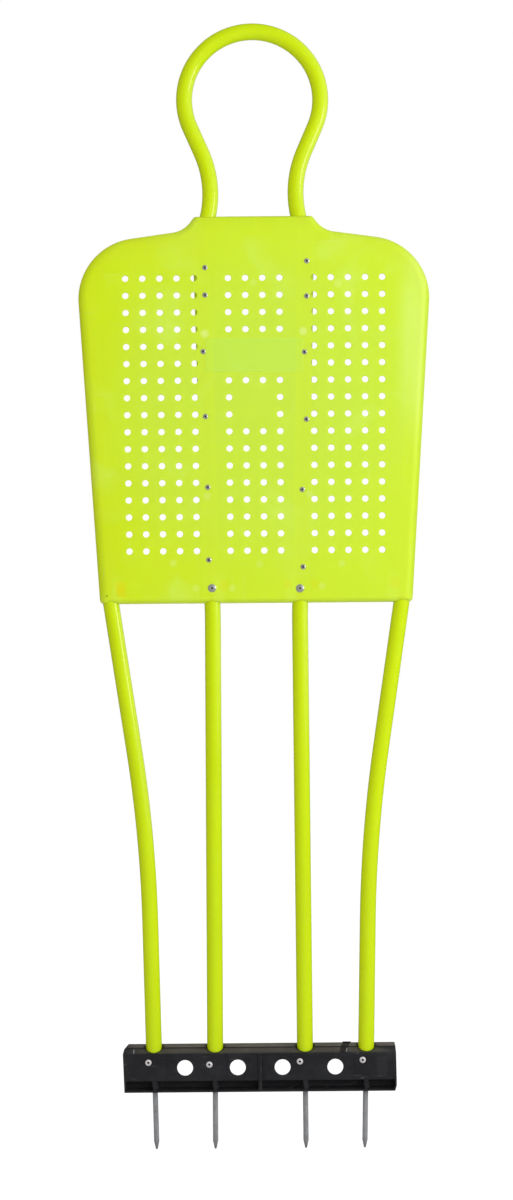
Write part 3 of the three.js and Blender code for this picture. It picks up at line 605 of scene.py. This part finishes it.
def panel_marks(g, x, z):
    """Stress marks, the paler feet of the tubes' bands, stains and one dark mark at the hem."""
    feet_of_bands = g.sum_of(*(g.band(x, at, 9, 5) for at in BAND_FEET))
    feet_of_bands = g.all_of(feet_of_bands, g.remap(z, 850, 880, 1, 0, True))
    g.paint((0.8, 0.92, 0.4), g.spots(x, z, PANEL_BLUSHES, 0.6), 0.6)
    g.paint((0.72, 0.92, 0.12), feet_of_bands, 0.22)
    g.paint((0.72, 0.74, 0.004), g.spots(x, z, PANEL_STAINS, 0.7))
    g.paint((0.2, 0.22, 0.02), g.spot(x, z, (-251, 835), 1.7), 0.6)


def bar_plastic():
    """Black moulded plastic, dusty on top but for painted shade round the legs, scuffed on its edges, with
    faint moulding lines.
    """
    g = surface("bar_plastic")
    x, y, z = g.axes()
    worn = g.remap(g.noise(22, 5, 0.65), 0.42, 0.78)
    g.colour = g.mix(worn, (0.0145, 0.0147, 0.0175), (0.027, 0.0275, 0.031))
    g.paint((0.036, 0.036, 0.039), g.cloudy(160, 4, roughness=0.6), 0.25)
    # painted shade: the top is left bare and dark round the legs, where they stand in the bar
    painted_leg_shade = g.sum_of(*(g.spot(x, y, (leg_axis(leg, 70)[0], 0), 17.5, 0.1) for leg in LEGS))
    dust_and_leg_shade = g.all_of(
        g.remap(g.facing()[2], 0.846, 1),
        g.remap(g.noise(60, 4, 0.6), 0.2, 0.75, 0.6, 1),
        g.remap(z, 40, 60),
        g.remap(painted_leg_shade, 0, 1, 1, 0.1),
        g.remap(x, -228, -200, 0.35, 1),
        g.remap(y, BAR_FRONT, BAR_FRONT + 9, 0.3, 0.76),
    )
    g.paint((0.202, 0.177, 0.146), dust_and_leg_shade)

    # lines left by the mould, a rubbed patch and a few scratches
    front = g.remap(y, BAR_FRONT + 1.5, BAR_FRONT + 0.5)
    lines = g.sum_of(*(g.band(x, at, 0.45, 0.3) for at in MOULD_LINES))
    g.paint((0.009, 0.009, 0.009), g.all_of(lines, front, g.remap(z, 22, 24)))
    rubbed = g.all_of(g.within(x, 196, 213, 2), g.within(z, 24, 58, 3), front)
    g.paint((0.06, 0.06, 0.062), rubbed, 0.2)
    marks = g.remap(g.noise(30, 2, 0.5, g.stretched((1, 1, 7)), 0.8), 0.69, 0.73)
    g.paint((0.11, 0.11, 0.11), marks, 0.4)
    slant = g.math("SUBTRACT", x, g.remap(y, BAR_FRONT, BAR_BACK, 140, 147))
    # a dark slanted band across the top near the catch
    dark_slant_band = g.all_of(g.band(slant, 0, 6.5, 1.2), g.remap(z, 63, 64.5))
    g.paint((0.012, 0.012, 0.012), dark_slant_band, 0.85)
    scratches = g.sum_of(
        g.all_of(g.band(g.math("SUBTRACT", slant, 4.5), 0, 0.9, 0.4), g.within(z, 65.8, 70, 0.8)),
        g.all_of(g.band(x, -212.5, 0.8, 0.4), g.within(z, 65.6, 70, 0.8)),
        g.all_of(g.band(x, 1.2, 0.4, 0.3), g.within(z, 30, 42, 4), g.math("MULTIPLY", front, 0.25)),
    )
    g.paint((0.4, 0.4, 0.4), scratches, 0.6)
    g.set(Base_Color=g.colour, Roughness=g.cloudy(45, 4, 0.42, 0.58), Specular_IOR_Level=0.4)
    g.bump((g.noise(700, 2), 0.04), (g.noise(30, 3), 0.12), (marks, 0.03))
    return g.owner


def plug_plastic():
    g = surface("plug_plastic")
    g.colour = g.mix(g.noise(60, 3), (0.009, 0.009, 0.01), (0.019, 0.019, 0.02))
    g.set(Base_Color=g.colour, Roughness=g.cloudy(80, 3, 0.55, 0.75))
    g.bump((g.noise(700, 2), 0.03))
    return g.owner


def spike_steel():
    """Plain steel rod, dull and drawn along its length, a little darker towards its point."""
    g = surface("spike_steel")
    drawn = g.remap(g.noise(40, 3, 0.6, g.stretched((30, 30, 1))), 0.3, 0.7)
    stains = g.remap(g.noise(90, 4, 0.6), 0.45, 0.8)
    g.colour = g.mix(drawn, (0.32, 0.324, 0.342), (0.49, 0.495, 0.515))
    g.paint((0.13, 0.125, 0.12), stains, 0.5)
    g.paint((0.13, 0.13, 0.135), g.remap(g.axes()[2], -80, -98, 0, 0.4))
    g.set(Base_Color=g.colour, Metallic=0.35, Roughness=g.remap(drawn, 0, 1, 0.42, 0.55))
    g.bump((drawn, 0.05), (g.noise(160, 3), 0.04))
    return g.owner


def rivet_metal(name, dull, bright, metallic, smoothest):
    g = surface(name)
    g.colour = g.mix(g.cloudy(500, 3), dull, bright)
    g.set(Base_Color=g.colour, Metallic=metallic, Roughness=g.cloudy(900, 3, smoothest, smoothest + 0.1))
    g.bump((g.noise(700, 2), 0.02))
    return g.owner


def mandrel_steel_and_shade():
    g = surface("mandrel_steel_and_shade")
    # near black, darker than steel: painted shade down in the rivet's bore
    g.colour = g.mix(g.noise(800, 3), (0.008, 0.008, 0.008), (0.02, 0.02, 0.02))
    g.set(Base_Color=g.colour, Metallic=0.2, Specular_IOR_Level=0.1, Roughness=g.cloudy(900, 3, 0.5, 0.7))
    g.bump((g.noise(1200, 2), 0.05))
    return g.owner


COATING = tube_coating()
PANEL = panel_plastic()
BAR = bar_plastic()
PLUG = plug_plastic()
STEEL = spike_steel()
RIVET = rivet_metal("rivet_metal", (0.68, 0.7, 0.64), (0.84, 0.86, 0.8), 0.7, 0.16)
BASE_RIVET = rivet_metal("base_rivet_metal", (0.66, 0.63, 0.645), (0.82, 0.79, 0.8), 0.2, 0.3)
MANDREL = mandrel_steel_and_shade()


def fit(made, slot, *nodes):
    """Lets a finished piece ride on the part's one body, in place of its CAD nodes."""
    if nodes:
        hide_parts(*nodes)
    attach(made, "root")


# Frame tubes


def frame_tubes():
    whole = INNER_HALF + mirrored(INNER_HALF)[-2::-1]
    fit(swept_tube("inner_tube_skin", whole, COATING), "tube_coating", "inner_frame_tube")
    for side, path in (("left", mirrored(OUTER_HALF)), ("right", OUTER_HALF)):
        made = swept_tube(f"outer_tube_skin_{side}", path, COATING)
        fit(made, "tube_coating", f"outer_leg_tube_{side}")
        fit(weld_bead(side), "tube_coating")


def weld_bead(side):
    """The bead round an outer tube's end on the inner tube's neck."""
    sign = -1 if side == "left" else 1
    end, before = OUTER_HALF[-1], OUTER_HALF[-2]
    along = direction(before, end)
    low, high = run_at(INNER_HALF, end.y)
    axis = direction(low, high)
    stations, sides = BEAD["stations"], BEAD["sides"]
    centres = []
    for i in range(stations):
        turn = 2 * math.pi * i / stations
        aside = TUBE_RADIUS * math.cos(turn)
        y = TUBE_RADIUS * math.sin(turn)
        start = end + left_of(along) * aside
        reach = math.sqrt((TUBE_RADIUS + BEAD["gap"]) ** 2 - y * y)
        # travel along the outer tube's skin until it meets the inner tube's
        away = cross(start - low, axis)
        speed = cross(along, axis)
        travel = (math.copysign(reach, away) - away) / speed
        point = start + along * travel
        centres.append((Vector((sign * point.x, y, point.y)), turn))
    verts = []
    for i, (centre, turn) in enumerate(centres):
        ahead, behind = centres[(i + 1) % stations][0], centres[i - 1][0]
        tangent = (ahead - behind).normalized()
        outwards = (centre - Vector((sign * end.x, 0, end.y))).normalized()
        outwards = (outwards - tangent * outwards.dot(tangent)).normalized()
        third = tangent.cross(outwards)
        size = BEAD["radius"] + BEAD["ripple"] * math.sin(turn * BEAD["ripples"])
        for k in range(sides):
            angle = 2 * math.pi * k / sides
            verts.append(centre + (outwards * math.cos(angle) + third * math.sin(angle)) * size)
    faces = []
    for i in range(stations):
        faces += ring_faces(i * sides, (i + 1) % stations * sides, sides)
    return piece(f"weld_bead_{side}", verts, faces, COATING, smooth_angle=60)


# Torso panel


def panel_outline(inset):
    """The panel's outline with each run drawn in by inset(rounding of its rim)."""
    corners = PANEL_CORNERS + [(Vector((-c.x, c.y)), r) for c, r in reversed(PANEL_CORNERS)]
    count = len(corners)
    runs = []
    for i, (corner, _) in enumerate(corners):
        along = direction(corner, corners[(i + 1) % count][0])
        amount = inset(RIM_ROUND[PANEL_RUNS[i]])
        runs.append((corner - left_of(along) * amount, along, amount))
    outline = []
    for i, (corner, radius) in enumerate(corners):
        before, after = runs[i - 1], runs[i]
        point = meeting(before[0], before[1], after[0], after[1])
        convex = cross(before[1], after[1]) < 0
        inset_here = (before[2] + after[2]) / 2
        rounding = max(radius - inset_here, SMALLEST_ROUNDING) if convex else radius + inset_here
        centre, start, turn = rounded_corner(point, before[1], after[1], rounding)
        steps = max(4, math.ceil(abs(turn) / CORNER_STEP))
        outline += [on_circle(centre, rounding, start + turn * k / steps) for k in range(steps + 1)]
    return outline


def rim_rings(wall):
    """Rings of the tray's outside, or of its inside when a wall is given, from the front to the back."""
    depth = -PANEL_FRONT - wall
    rings = []
    for step in range(RIM_STEPS + 1):
        angle = math.pi / 2 * step / RIM_STEPS
        outline = panel_outline(lambda rounding: wall + (rounding - wall) * (1 - math.sin(angle)))
        rings.append((outline, -depth * math.cos(angle)))
    rings.append((panel_outline(lambda rounding: wall), PANEL_RIM_BACK))
    return rings


def is_hole(row, column):
    """Whether a place has a hole, which those over the tubes and round the label haven't."""
    left_tube, right_tube = TUBE_COLUMNS
    if column in TUBE_COLUMNS:
        return False
    if not left_tube < column < right_tube:
        return True
    outer_place = column in (left_tube + 1, right_tube - 1)
    return row not in LABEL_ROWS and (row not in FRAMED_ROWS or outer_place)


def hole_centres():
    centres = []
    for row in range(HOLE_ROWS):
        pitch = COLUMN_PITCH_TOP + (COLUMN_PITCH_HEM - COLUMN_PITCH_TOP) * row / (HOLE_ROWS - 1)
        for column in range(HOLE_COLUMNS):
            if is_hole(row, column):
                x = (column - (HOLE_COLUMNS - 1) / 2) * pitch
                centres.append(Vector((x, TOP_ROW_HEIGHT - row * ROW_PITCH)))
    return centres


def circle(centre, radius, segments=HOLE_SEGMENTS):
    return [on_circle(centre, radius, 2 * math.pi * i / segments) for i in range(segments)]


def label_outline(inset=0):
    half, corner = LABEL["half_width"] - inset, LABEL["corner"]
    low, high = LABEL["bottom"] + inset, LABEL["top"] - inset
    outline = []
    for i, (x, z) in enumerate(((1, low), (1, high), (-1, high), (-1, low))):
        inwards = corner if i in (0, 3) else -corner
        centre = Vector((x * (half - corner), z + inwards))
        for k in range(LABEL_CORNER_STEPS + 1):
            outline.append(on_circle(centre, corner, math.pi / 2 * (i - 1 + k / LABEL_CORNER_STEPS)))
    return outline


class Solid:
    """Vertices and faces in millimetres, gathered part by part."""

    def __init__(self):
        self.verts, self.faces = [], []

    def loop(self, points, y):
        first = len(self.verts)
        self.verts += [(p.x, y, p.y) for p in points]
        return first

    def band(self, loops):
        """Joins loops of equal length, each (points, y), one to the next."""
        starts = [self.loop(points, y) for points, y in loops]
        for a, b in zip(starts, starts[1:]):
            self.faces += ring_faces(a, b, len(loops[0][0]))

    def sheet(self, outline, holes, y):
        """A flat face with holes at one Y."""
        points, edges = [], []
        for loop in [outline, *holes]:
            first = len(points)
            points += loop
            edges += [(first + i, first + (i + 1) % len(loop)) for i in range(len(loop))]
        result = delaunay_2d_cdt(points, edges, [], 2, 1e-5)
        flat, triangles = result[0], result[2]
        start = self.loop(flat, y)
        for triangle in triangles:
            middle = sum((flat[i] for i in triangle), Vector((0, 0))) / 3
            close = [hole for hole in holes if (middle - hole[0]).length < NEARBY]
            if not any(inside(middle, hole) for hole in close):
                self.faces.append(tuple(start + i for i in triangle))


def inside(point, loop):
    """Whether a point is inside a convex loop that runs anticlockwise."""
    return all(cross(b - a, point - a) > 0 for a, b in zip(loop, loop[1:] + loop[:1]))


def torso_panel():
    solid = Solid()
    outside = rim_rings(0)
    hollow = rim_rings(PANEL_WALL)
    solid.band(outside)
    solid.band(hollow)
    solid.band([outside[-1], hollow[-1]])
    back = PANEL_FRONT + PANEL_WALL
    centres = hole_centres()
    # the front edge is rounded in two steps, and then the hole runs straight through
    levels = [
        (HOLE_EASE, PANEL_FRONT),
        (HOLE_EASE * 0.3, PANEL_FRONT + HOLE_EASE * 0.3),
        (0, PANEL_FRONT + HOLE_EASE),
        (0, back),
    ]
    for centre in centres:
        solid.band([(circle(centre, HOLE_RADIUS + ease), y) for ease, y in levels])
    label_foot, label_edge = label_outline(), label_outline(LABEL["slope"])
    label_front = PANEL_FRONT - LABEL["raise"]
    solid.band([(label_foot, PANEL_FRONT), (label_edge, label_front)])
    solid.sheet(label_edge, [], label_front)
    front_holes = [circle(centre, HOLE_RADIUS + HOLE_EASE) for centre in centres]
    solid.sheet(outside[0][0], front_holes + [label_foot], PANEL_FRONT)
    solid.sheet(hollow[0][0], [circle(centre, HOLE_RADIUS) for centre in centres], back)
    made = piece("panel_shell", solid.verts, solid.faces, PANEL)
    worked(made, ("DIFFERENCE", gathered(notches())))
    finish_mesh(made.data, PANEL, smooth_angle=20)
    fit(made, "panel_plastic", "torso_panel")


def notches():
    """Slots in the rim, open at the back, where the tubes pass through its top and its hem."""
    top, hem = PANEL_CORNERS[0][0].y, PANEL_CORNERS[3][0].y
    inner, outer = INNER_HALF, OUTER_HALF
    places = [(inner, top), (inner, hem), (outer, hem)]
    return [slot_through(path, height, sign) for path, height in places for sign in (-1, 1)]


def slot_through(path, height, sign):
    low, high = run_at(path, height)
    along = direction(low, high)
    middle = low + along * ((height - low.y) / along.y)
    angles = [-math.pi + math.pi * i / NOTCH_STEPS for i in range(NOTCH_STEPS + 1)]
    outline = [(NOTCH_RADIUS * math.cos(angle), NOTCH_RADIUS * math.sin(angle)) for angle in angles]
    outline += [(NOTCH_RADIUS, PANEL_RIM_BACK + OVERLAP), (-NOTCH_RADIUS, PANEL_RIM_BACK + OVERLAP)]
    ends = []
    for travel in (-NOTCH_REACH, NOTCH_REACH):
        points = [(middle + along * travel - left_of(along) * aside, y) for aside, y in outline]
        ends.append([(sign * point.x, y, point.y) for point, y in points])
    return closed_solid(*ends)


# Rivets

# Radius and height along a blind rivet's head of radius 1, from its bore outwards, and its mandrel's end
DOMED_HEAD = [
    (0.36, -0.9), (0.36, 0.2), (0.38, 0.3), (0.44, 0.36), (0.52, 0.355), (0.66, 0.31), (0.82, 0.22),
    (0.94, 0.12), (0.995, 0.05), (1, 0.015), (0.97, 0), (0.55, 0), (0.55, -0.9), (0.36, -0.9),
]
FLAT_HEAD = [
    (0.2, -0.6), (0.2, 0.12), (0.215, 0.21), (0.25, 0.27), (0.32, 0.29), (0.45, 0.275), (0.62, 0.23),
    (0.8, 0.155), (0.93, 0.075), (0.99, 0.035), (1, 0.01), (0.97, 0), (0.4, 0), (0.4, -0.6), (0.2, -0.6),
]
MANDREL_END = [(0, 0.05), (0.22, 0.05), (0.28, 0.03), (0.3, 0.01), (0.35, 0.005), (0.35, -0.5), (0, -0.5)]

# for each kind the face it sits on, its metal, its head and the scale of its mandrel
RIVET_KINDS = {
    "panel": (PANEL_FRONT, RIVET, DOMED_HEAD, 1),
    "hem": (PANEL_FRONT, RIVET, FLAT_HEAD, 0.58),
    "base": (BAR_FRONT, BASE_RIVET, DOMED_HEAD, 1),
}


def dress_rivets():
    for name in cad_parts:
        if "_rivet_" not in name:
            continue
        face, metal, profile, pin_scale = RIVET_KINDS[name.split("_")[0]]
        low, high = (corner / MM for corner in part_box(name))
        radius = (high.x - low.x) / 2
        place = Matrix.Translation(Vector(((low.x + high.x) / 2, face, (low.z + high.z) / 2)) * MM)
        place = place @ Matrix.Rotation(math.pi / 2, 4, "X")
        head = turned(f"{name}_head", [(r * radius, h * radius) for r, h in profile], metal, segments=40)
        pin_profile = [(r * radius * pin_scale, h * radius) for r, h in MANDREL_END]
        pin = turned(f"{name}_mandrel", pin_profile, MANDREL, segments=24)
        for made in (head, pin):
            made.data.transform(place)
        fit(head, "rivet_metal", name)
        fit(pin, "rivet_metal")


# Base and feet


def prism_y(points, from_y, to_y):
    """A closed solid from a loop of X and Z points, run from one Y to another."""
    return closed_solid(*([(p[0], y, p[1]) for p in points] for y in (from_y, to_y)))


def prism_x(points, from_x, to_x):
    """A closed solid from a loop of Y and Z points, run from one X to another."""
    return closed_solid(*([(x, p[0], p[1]) for p in points] for x in (from_x, to_x)))


def box(from_corner, to_corner):
    (x0, y0, z0), (x1, y1, z1) = from_corner, to_corner
    return prism_y([(x0, z0), (x1, z0), (x1, z1), (x0, z1)], y0, y1)


def leg_pillars(bottom, top, radius, segments=48):
    """A closed cylinder along the lower axis of every leg."""
    pillars = []
    for leg in LEGS:
        x, lean = leg_axis(leg, 0)
        tilt = Matrix.Rotation(lean, 4, "Y")
        ends = []
        for height in (bottom, top):
            ring = []
            for i in range(segments):
                angle = 2 * math.pi * i / segments
                point = tilt @ Vector((radius * math.cos(angle), radius * math.sin(angle), height))
                ring.append((point.x + x, point.y, point.z))
            ends.append(ring)
        pillars.append(closed_solid(*ends))
    return gathered(pillars)


def gathered(solids):
    """Separate closed solids as one mesh's vertices and faces."""
    verts, faces = [], []
    for solid_verts, solid_faces in solids:
        first = len(verts)
        verts += solid_verts
        faces += [tuple(first + i for i in face) for face in solid_faces]
    return verts, faces


def worked(target, *steps):
    """Applies (operation, solid) steps to an object and returns it."""
    tools = []
    for operation, solid in steps:
        tool = piece("tool", *solid, BAR)
        tools.append(tool)
        modifier = target.modifiers.new("work", "BOOLEAN")
        modifier.operation = operation
        modifier.solver = "MANIFOLD"
        modifier.object = tool
    applied(target)
    for tool in tools:
        bpy.data.objects.remove(tool)
    return target


def applied(target):
    """Turns an object's modifiers into its mesh."""
    graph = bpy.context.evaluated_depsgraph_get()
    mesh = bpy.data.meshes.new_from_object(target.evaluated_get(graph))
    target.modifiers.clear()
    target.data = mesh


def drawn_in(points, amount):
    """A clockwise loop of points with every side moved inwards."""
    count = len(points)
    runs = []
    for i, point in enumerate(points):
        along = direction(point, points[(i + 1) % count])
        runs.append((point - left_of(along) * amount, along))
    return [meeting(*runs[i - 1], *runs[i]) for i in range(count)]


def bar_section(wall, bottom, back):
    """The bar's section in Y and Z, or its hollow's when a wall is given, which has no step on top."""
    step, slope_top, slope_foot = BAR_TOP_STEP
    return [
        (BAR_FRONT + wall, bottom),
        (back, bottom),
        (back, BAR_HEIGHT - wall),
        *([] if wall else [step]),
        (slope_top[0], slope_top[1] - wall),
        (slope_foot[0] + wall, slope_foot[1] - wall * 0.6),
    ]


def bar_run(section, wall):
    """A section run along the bar, cut to the bar's front view."""
    run = piece("bar_run", *prism_x(section, -RUN_HALF, RUN_HALF), BAR)
    view = drawn_in([Vector(corner) for corner in BAR_FRONT_VIEW], wall)
    return worked(run, ("INTERSECT", prism_y(view, BAR_FRONT - MARGIN, BAR_BACK + MARGIN)))


def as_solid(made):
    """The vertices and faces of a finished object, which is deleted."""
    verts = [tuple(v.co / MM) for v in made.data.vertices]
    faces = [tuple(face.vertices) for face in made.data.polygons]
    bpy.data.objects.remove(made)
    return verts, faces


def recess(from_y, to_y):
    section = [(from_y, BAR_WALL), (to_y, BAR_WALL), (to_y, FLOOR_UNDERSIDE), (from_y, FLOOR_UNDERSIDE)]
    return as_solid(bar_run(section, BAR_WALL))


def recess_rib(x, half_top, half_foot, front):
    top, foot = FLOOR_UNDERSIDE + OVERLAP, BAR_WALL - OVERLAP
    shape = [(x - half_top, top), (x + half_top, top), (x + half_foot, foot), (x - half_foot, foot)]
    return prism_y(shape, front, WEB_FRONT + OVERLAP)


def centre_band(front):
    """The raised band in the middle of the bar's front and the grooves at its sides."""
    half, groove = CENTRE_BAND["half_width"], CENTRE_BAND["groove"]
    top = BAR_TOP_STEP[-1][1] - CENTRE_BAND["below_slope"]
    raised = box((-half, front - CENTRE_BAND["raise"], FLOOR_UNDERSIDE), (half, front + OVERLAP, top))
    grooves = gathered(
        box((x, front - OVERLAP, FLOOR_UNDERSIDE - OVERLAP), (x + groove, front + groove, top))
        for x in (half, -half - groove)
    )
    return raised, grooves


def collars(section):
    """Sleeves round the legs under the bar's top, cut to the inside of the bar."""
    made = piece("collars", *leg_pillars(COLLAR_BOTTOM, BAR_HEIGHT, SOCKET_RADIUS), BAR)
    return as_solid(worked(made, ("INTERSECT", prism_x(section, -RUN_HALF, RUN_HALF))))


def base_rivet_place(leg):
    offset = BASE_RIVETS[leg]
    return Vector((leg_axis(leg, offset.y)[0] + offset.x, offset.y))


def front_cutters(places, radius, to_y, segments):
    """Round cutters from before the bar's front to a Y behind it."""
    return gathered(prism_y(circle(place, radius, segments), BAR_FRONT - OVERLAP, to_y) for place in places)


def base_bar():
    front, back, behind_web = BAR_FRONT, BAR_BACK, WEB_FRONT + BAR_WALL
    hollow = as_solid(bar_run(bar_section(BAR_WALL, FLOOR_TOP, back + OVERLAP), BAR_WALL))
    recesses = gathered([recess(front - OVERLAP, WEB_FRONT), recess(behind_web, back + OVERLAP)])
    windows = gathered(
        box((x0, behind_web, FLOOR_UNDERSIDE - OVERLAP), (x1, back + OVERLAP, FLOOR_TOP + OVERLAP))
        for x0, x1 in FLOOR_WINDOWS
    )
    halves = (GUSSET_HALF_TOP, GUSSET_HALF_FOOT)
    gussets = [recess_rib(leg_axis(leg, 0)[0], *halves, front + GUSSET_SETBACK) for leg in LEGS]
    gussets.append(recess_rib(0, CENTRE_RIB_HALF, CENTRE_RIB_HALF, front))
    half_rib = BACK_RIB_WIDTH / 2
    inner_section = bar_section(RIB_INSET, FLOOR_TOP - OVERLAP, back - BACK_RIB_SETBACK)
    ribs = gathered(prism_x(inner_section, x - half_rib, x + half_rib) for x in BACK_RIB_PLACES)
    raised, grooves = centre_band(front)
    lug = box(
        (CATCH["x"] - CATCH["half_width"], back - CATCH["depth"], BAR_HEIGHT - OVERLAP),
        (CATCH["x"] + CATCH["half_width"], back, BAR_HEIGHT + CATCH["height"]),
    )
    bosses = leg_pillars(BAR_WALL - OVERLAP, FLOOR_UNDERSIDE + OVERLAP, SPIKE_BOSS_RADIUS, segments=32)
    carry_places = [Vector((x, CARRY_HOLE_HEIGHT)) for x in CARRY_HOLE_PLACES]
    through_wall = front + BAR_WALL + OVERLAP
    rivet_places = [base_rivet_place(leg) for leg in LEGS]

    bar = bar_run(bar_section(0, 0, back), 0)
    worked(
        bar,
        ("DIFFERENCE", hollow),
        ("DIFFERENCE", recesses),
        ("DIFFERENCE", windows),
        ("UNION", gathered(gussets)),
        ("UNION", ribs),
        ("UNION", raised),
        ("DIFFERENCE", grooves),
        ("UNION", lug),
        ("UNION", leg_pillars(FLOOR_TOP - OVERLAP, SOCKET_TOP, SOCKET_RADIUS)),
        ("UNION", collars(inner_section)),
        ("UNION", bosses),
        ("DIFFERENCE", leg_pillars(FLOOR_TOP, BAR_HEIGHT + MARGIN, LEG_HOLE_RADIUS)),
        ("DIFFERENCE", leg_pillars(-OVERLAP, FLOOR_TOP + OVERLAP, SPIKE_RADIUS + PLAY, segments=32)),
        ("DIFFERENCE", front_cutters(carry_places, CARRY_HOLE_RADIUS, through_wall, segments=64)),
        ("DIFFERENCE", front_cutters(rivet_places, DRILLING_RADIUS, 0, segments=24)),
    )
    ease_edges(bar, BAR_EASE)
    bar.name = "base_bar_body"
    finish_mesh(bar.data, BAR, smooth_angle=35)
    fit(bar, "bar_plastic", "base_bar")


def ease_edges(made, width):
    """Rounds an object's sharper edges."""
    modifier = made.modifiers.new("ease", "BEVEL")
    modifier.width = width * MM
    modifier.segments = 2
    modifier.limit_method = "ANGLE"
    modifier.angle_limit = math.radians(28)
    applied(made)


def foot_matrix(leg):
    x, lean = leg_axis(leg, 0)
    return Matrix.Translation(Vector((x, 0, 0)) * MM) @ Matrix.Rotation(lean, 4, "Y")


def feet():
    tip, shaft = -SPIKE_DEPTH, SPIKE_POINT - SPIKE_DEPTH
    spike = [
        (0, tip),
        (0.7, tip + 0.1),
        (1.25, tip + 0.45),
        (SPIKE_TIP_RADIUS, tip + 1.1),
        (SPIKE_RADIUS - 0.35, shaft - 1.4),
        (SPIKE_RADIUS - 0.1, shaft - 0.4),
        (SPIKE_RADIUS, shaft + 0.8),
        (SPIKE_RADIUS, -40),
        (SPIKE_RADIUS, 0),
        (SPIKE_RADIUS, SPIKE_TOP - 0.6),
        (SPIKE_RADIUS - 0.6, SPIKE_TOP),
        (0, SPIKE_TOP),
    ]
    outside, bore = TUBE_BORE - PLAY, SPIKE_RADIUS + PLAY
    plug = [
        (bore, PLUG_BOTTOM + 0.6),
        (bore + 0.6, PLUG_BOTTOM),
        (outside - 0.8, PLUG_BOTTOM),
        (outside, PLUG_BOTTOM + 0.8),
        (outside, PLUG_TOP - 0.8),
        (outside - 0.8, PLUG_TOP),
        (bore + 0.6, PLUG_TOP),
        (bore, PLUG_TOP - 0.6),
        (bore, PLUG_BOTTOM + 0.6),
    ]
    for leg in LEGS:
        for kind, profile, material, slot in (
            ("ground_spike", spike, STEEL, "spike_steel"),
            ("leg_plug", plug, PLUG, "plug_plastic"),
        ):
            made = turned(f"{kind}_{leg}_turned", profile, material, segments=48)
            made.data.transform(foot_matrix(leg))
            fit(made, slot, f"{kind}_{leg}")


# Stage


def stage_floor():
    g = surface("pale_floor")
    light_path = g.nodes.new("ShaderNodeLightPath")
    seen = light_path.outputs["Is Camera Ray"]
    pale = g.mix(light_path.outputs["Is Glossy Ray"], (0.78, 0.78, 0.78), (0.12, 0.12, 0.12))
    g.set(
        Base_Color=g.mix(seen, pale, (0.26, 0.26, 0.26)),
        Roughness=0.9,
        Specular_IOR_Level=0,
        Emission_Color=(1, 1, 1),
        Emission_Strength=g.math("MULTIPLY", seen, 0.84),
    )
    g.owner.cycles.emission_sampling = "NONE"
    corners = [(-1, -1), (1, -1), (1, 1), (-1, 1)]
    verts = [(x * FLOOR_HALF, y * FLOOR_HALF, FLOOR_HEIGHT) for x, y in corners]
    floor = piece("floor", verts, [(0, 1, 2, 3)], g.owner)


def world_light():
    """An even studio: white behind the part, in its reflections dim but brighter to the right."""
    bpy.context.scene.world = bpy.data.worlds.new("studio")
    g = Graph(bpy.context.scene.world, "Background", "Generated")
    trend = g.node("VectorMath", "Value", {0: g.place, 1: WORLD_TREND}, operation="DOT_PRODUCT")
    path = g.nodes.new("ShaderNodeLightPath").outputs
    mirrored_room = g.remap(g.axes(unit=1)[0], 0.2, 0.95, 0.08, 0.9)
    dim = g.remap(path["Is Glossy Ray"], 0, 1, g.math("ADD", trend, WORLD_LEVEL), mirrored_room)
    seen = g.math("MAXIMUM", path["Is Camera Ray"], path["Is Transmission Ray"])
    g.set(Color=(1, 1, 1), Strength=g.remap(seen, 0, 1, dim, 1))


def softbox(name, place, target, size, power, in_gloss=True, in_matt=True):
    light = bpy.data.lights.new(name, "AREA")
    light.shape = "RECTANGLE"
    light.size, light.size_y = size
    light.energy = power
    holder = bpy.data.objects.new(name, light)
    aim = Vector(target) - Vector(place)
    holder.matrix_world = Matrix.Translation(place) @ aim.to_track_quat("-Z", "Y").to_matrix().to_4x4()
    holder.visible_glossy = in_gloss
    holder.visible_diffuse = in_matt
    bpy.context.scene.collection.objects.link(holder)


def lights():
    middle = (0, 0, 0.9)
    softbox("front_right", (0.8, -2.9, 1.9), middle, (1.8, 1.8), 42, in_gloss=False)
    softbox("side_right", (2.7, -1.3, 1.2), middle, (1.0, 2.8), 19, in_gloss=False)
    softbox("gleam", (2.7, -1.3, 1.5), (0, 0, 1.5), (0.6, 1.2), 14, in_matt=False)
    softbox("behind", (-0.8, 3.2, 2.0), middle, (2.4, 1.8), 16, in_gloss=False)


def camera():
    data = bpy.data.cameras.new("camera")
    data.sensor_fit = "VERTICAL"
    data.sensor_height = 24
    data.lens = data.sensor_height * FOCAL_LENGTH_PX / IMAGE_HEIGHT
    data.clip_end = 50
    made = bpy.data.objects.new("camera", data)
    place = Matrix.Translation(Vector((CAMERA_ASIDE, -CAMERA_DISTANCE, CAMERA_HEIGHT)) * MM)
    level = Matrix.Rotation(math.pi / 2, 4, "X")
    made.matrix_world = place @ level @ Matrix.Rotation(CAMERA_ROLL, 4, "Z")
    bpy.context.scene.collection.objects.link(made)
    bpy.context.scene.camera = made


camera()
frame_tubes()
torso_panel()
dress_rivets()
base_bar()
feet()
stage_floor()
world_light()
lights()
bpy.context.scene.view_settings.view_transform = "Standard"
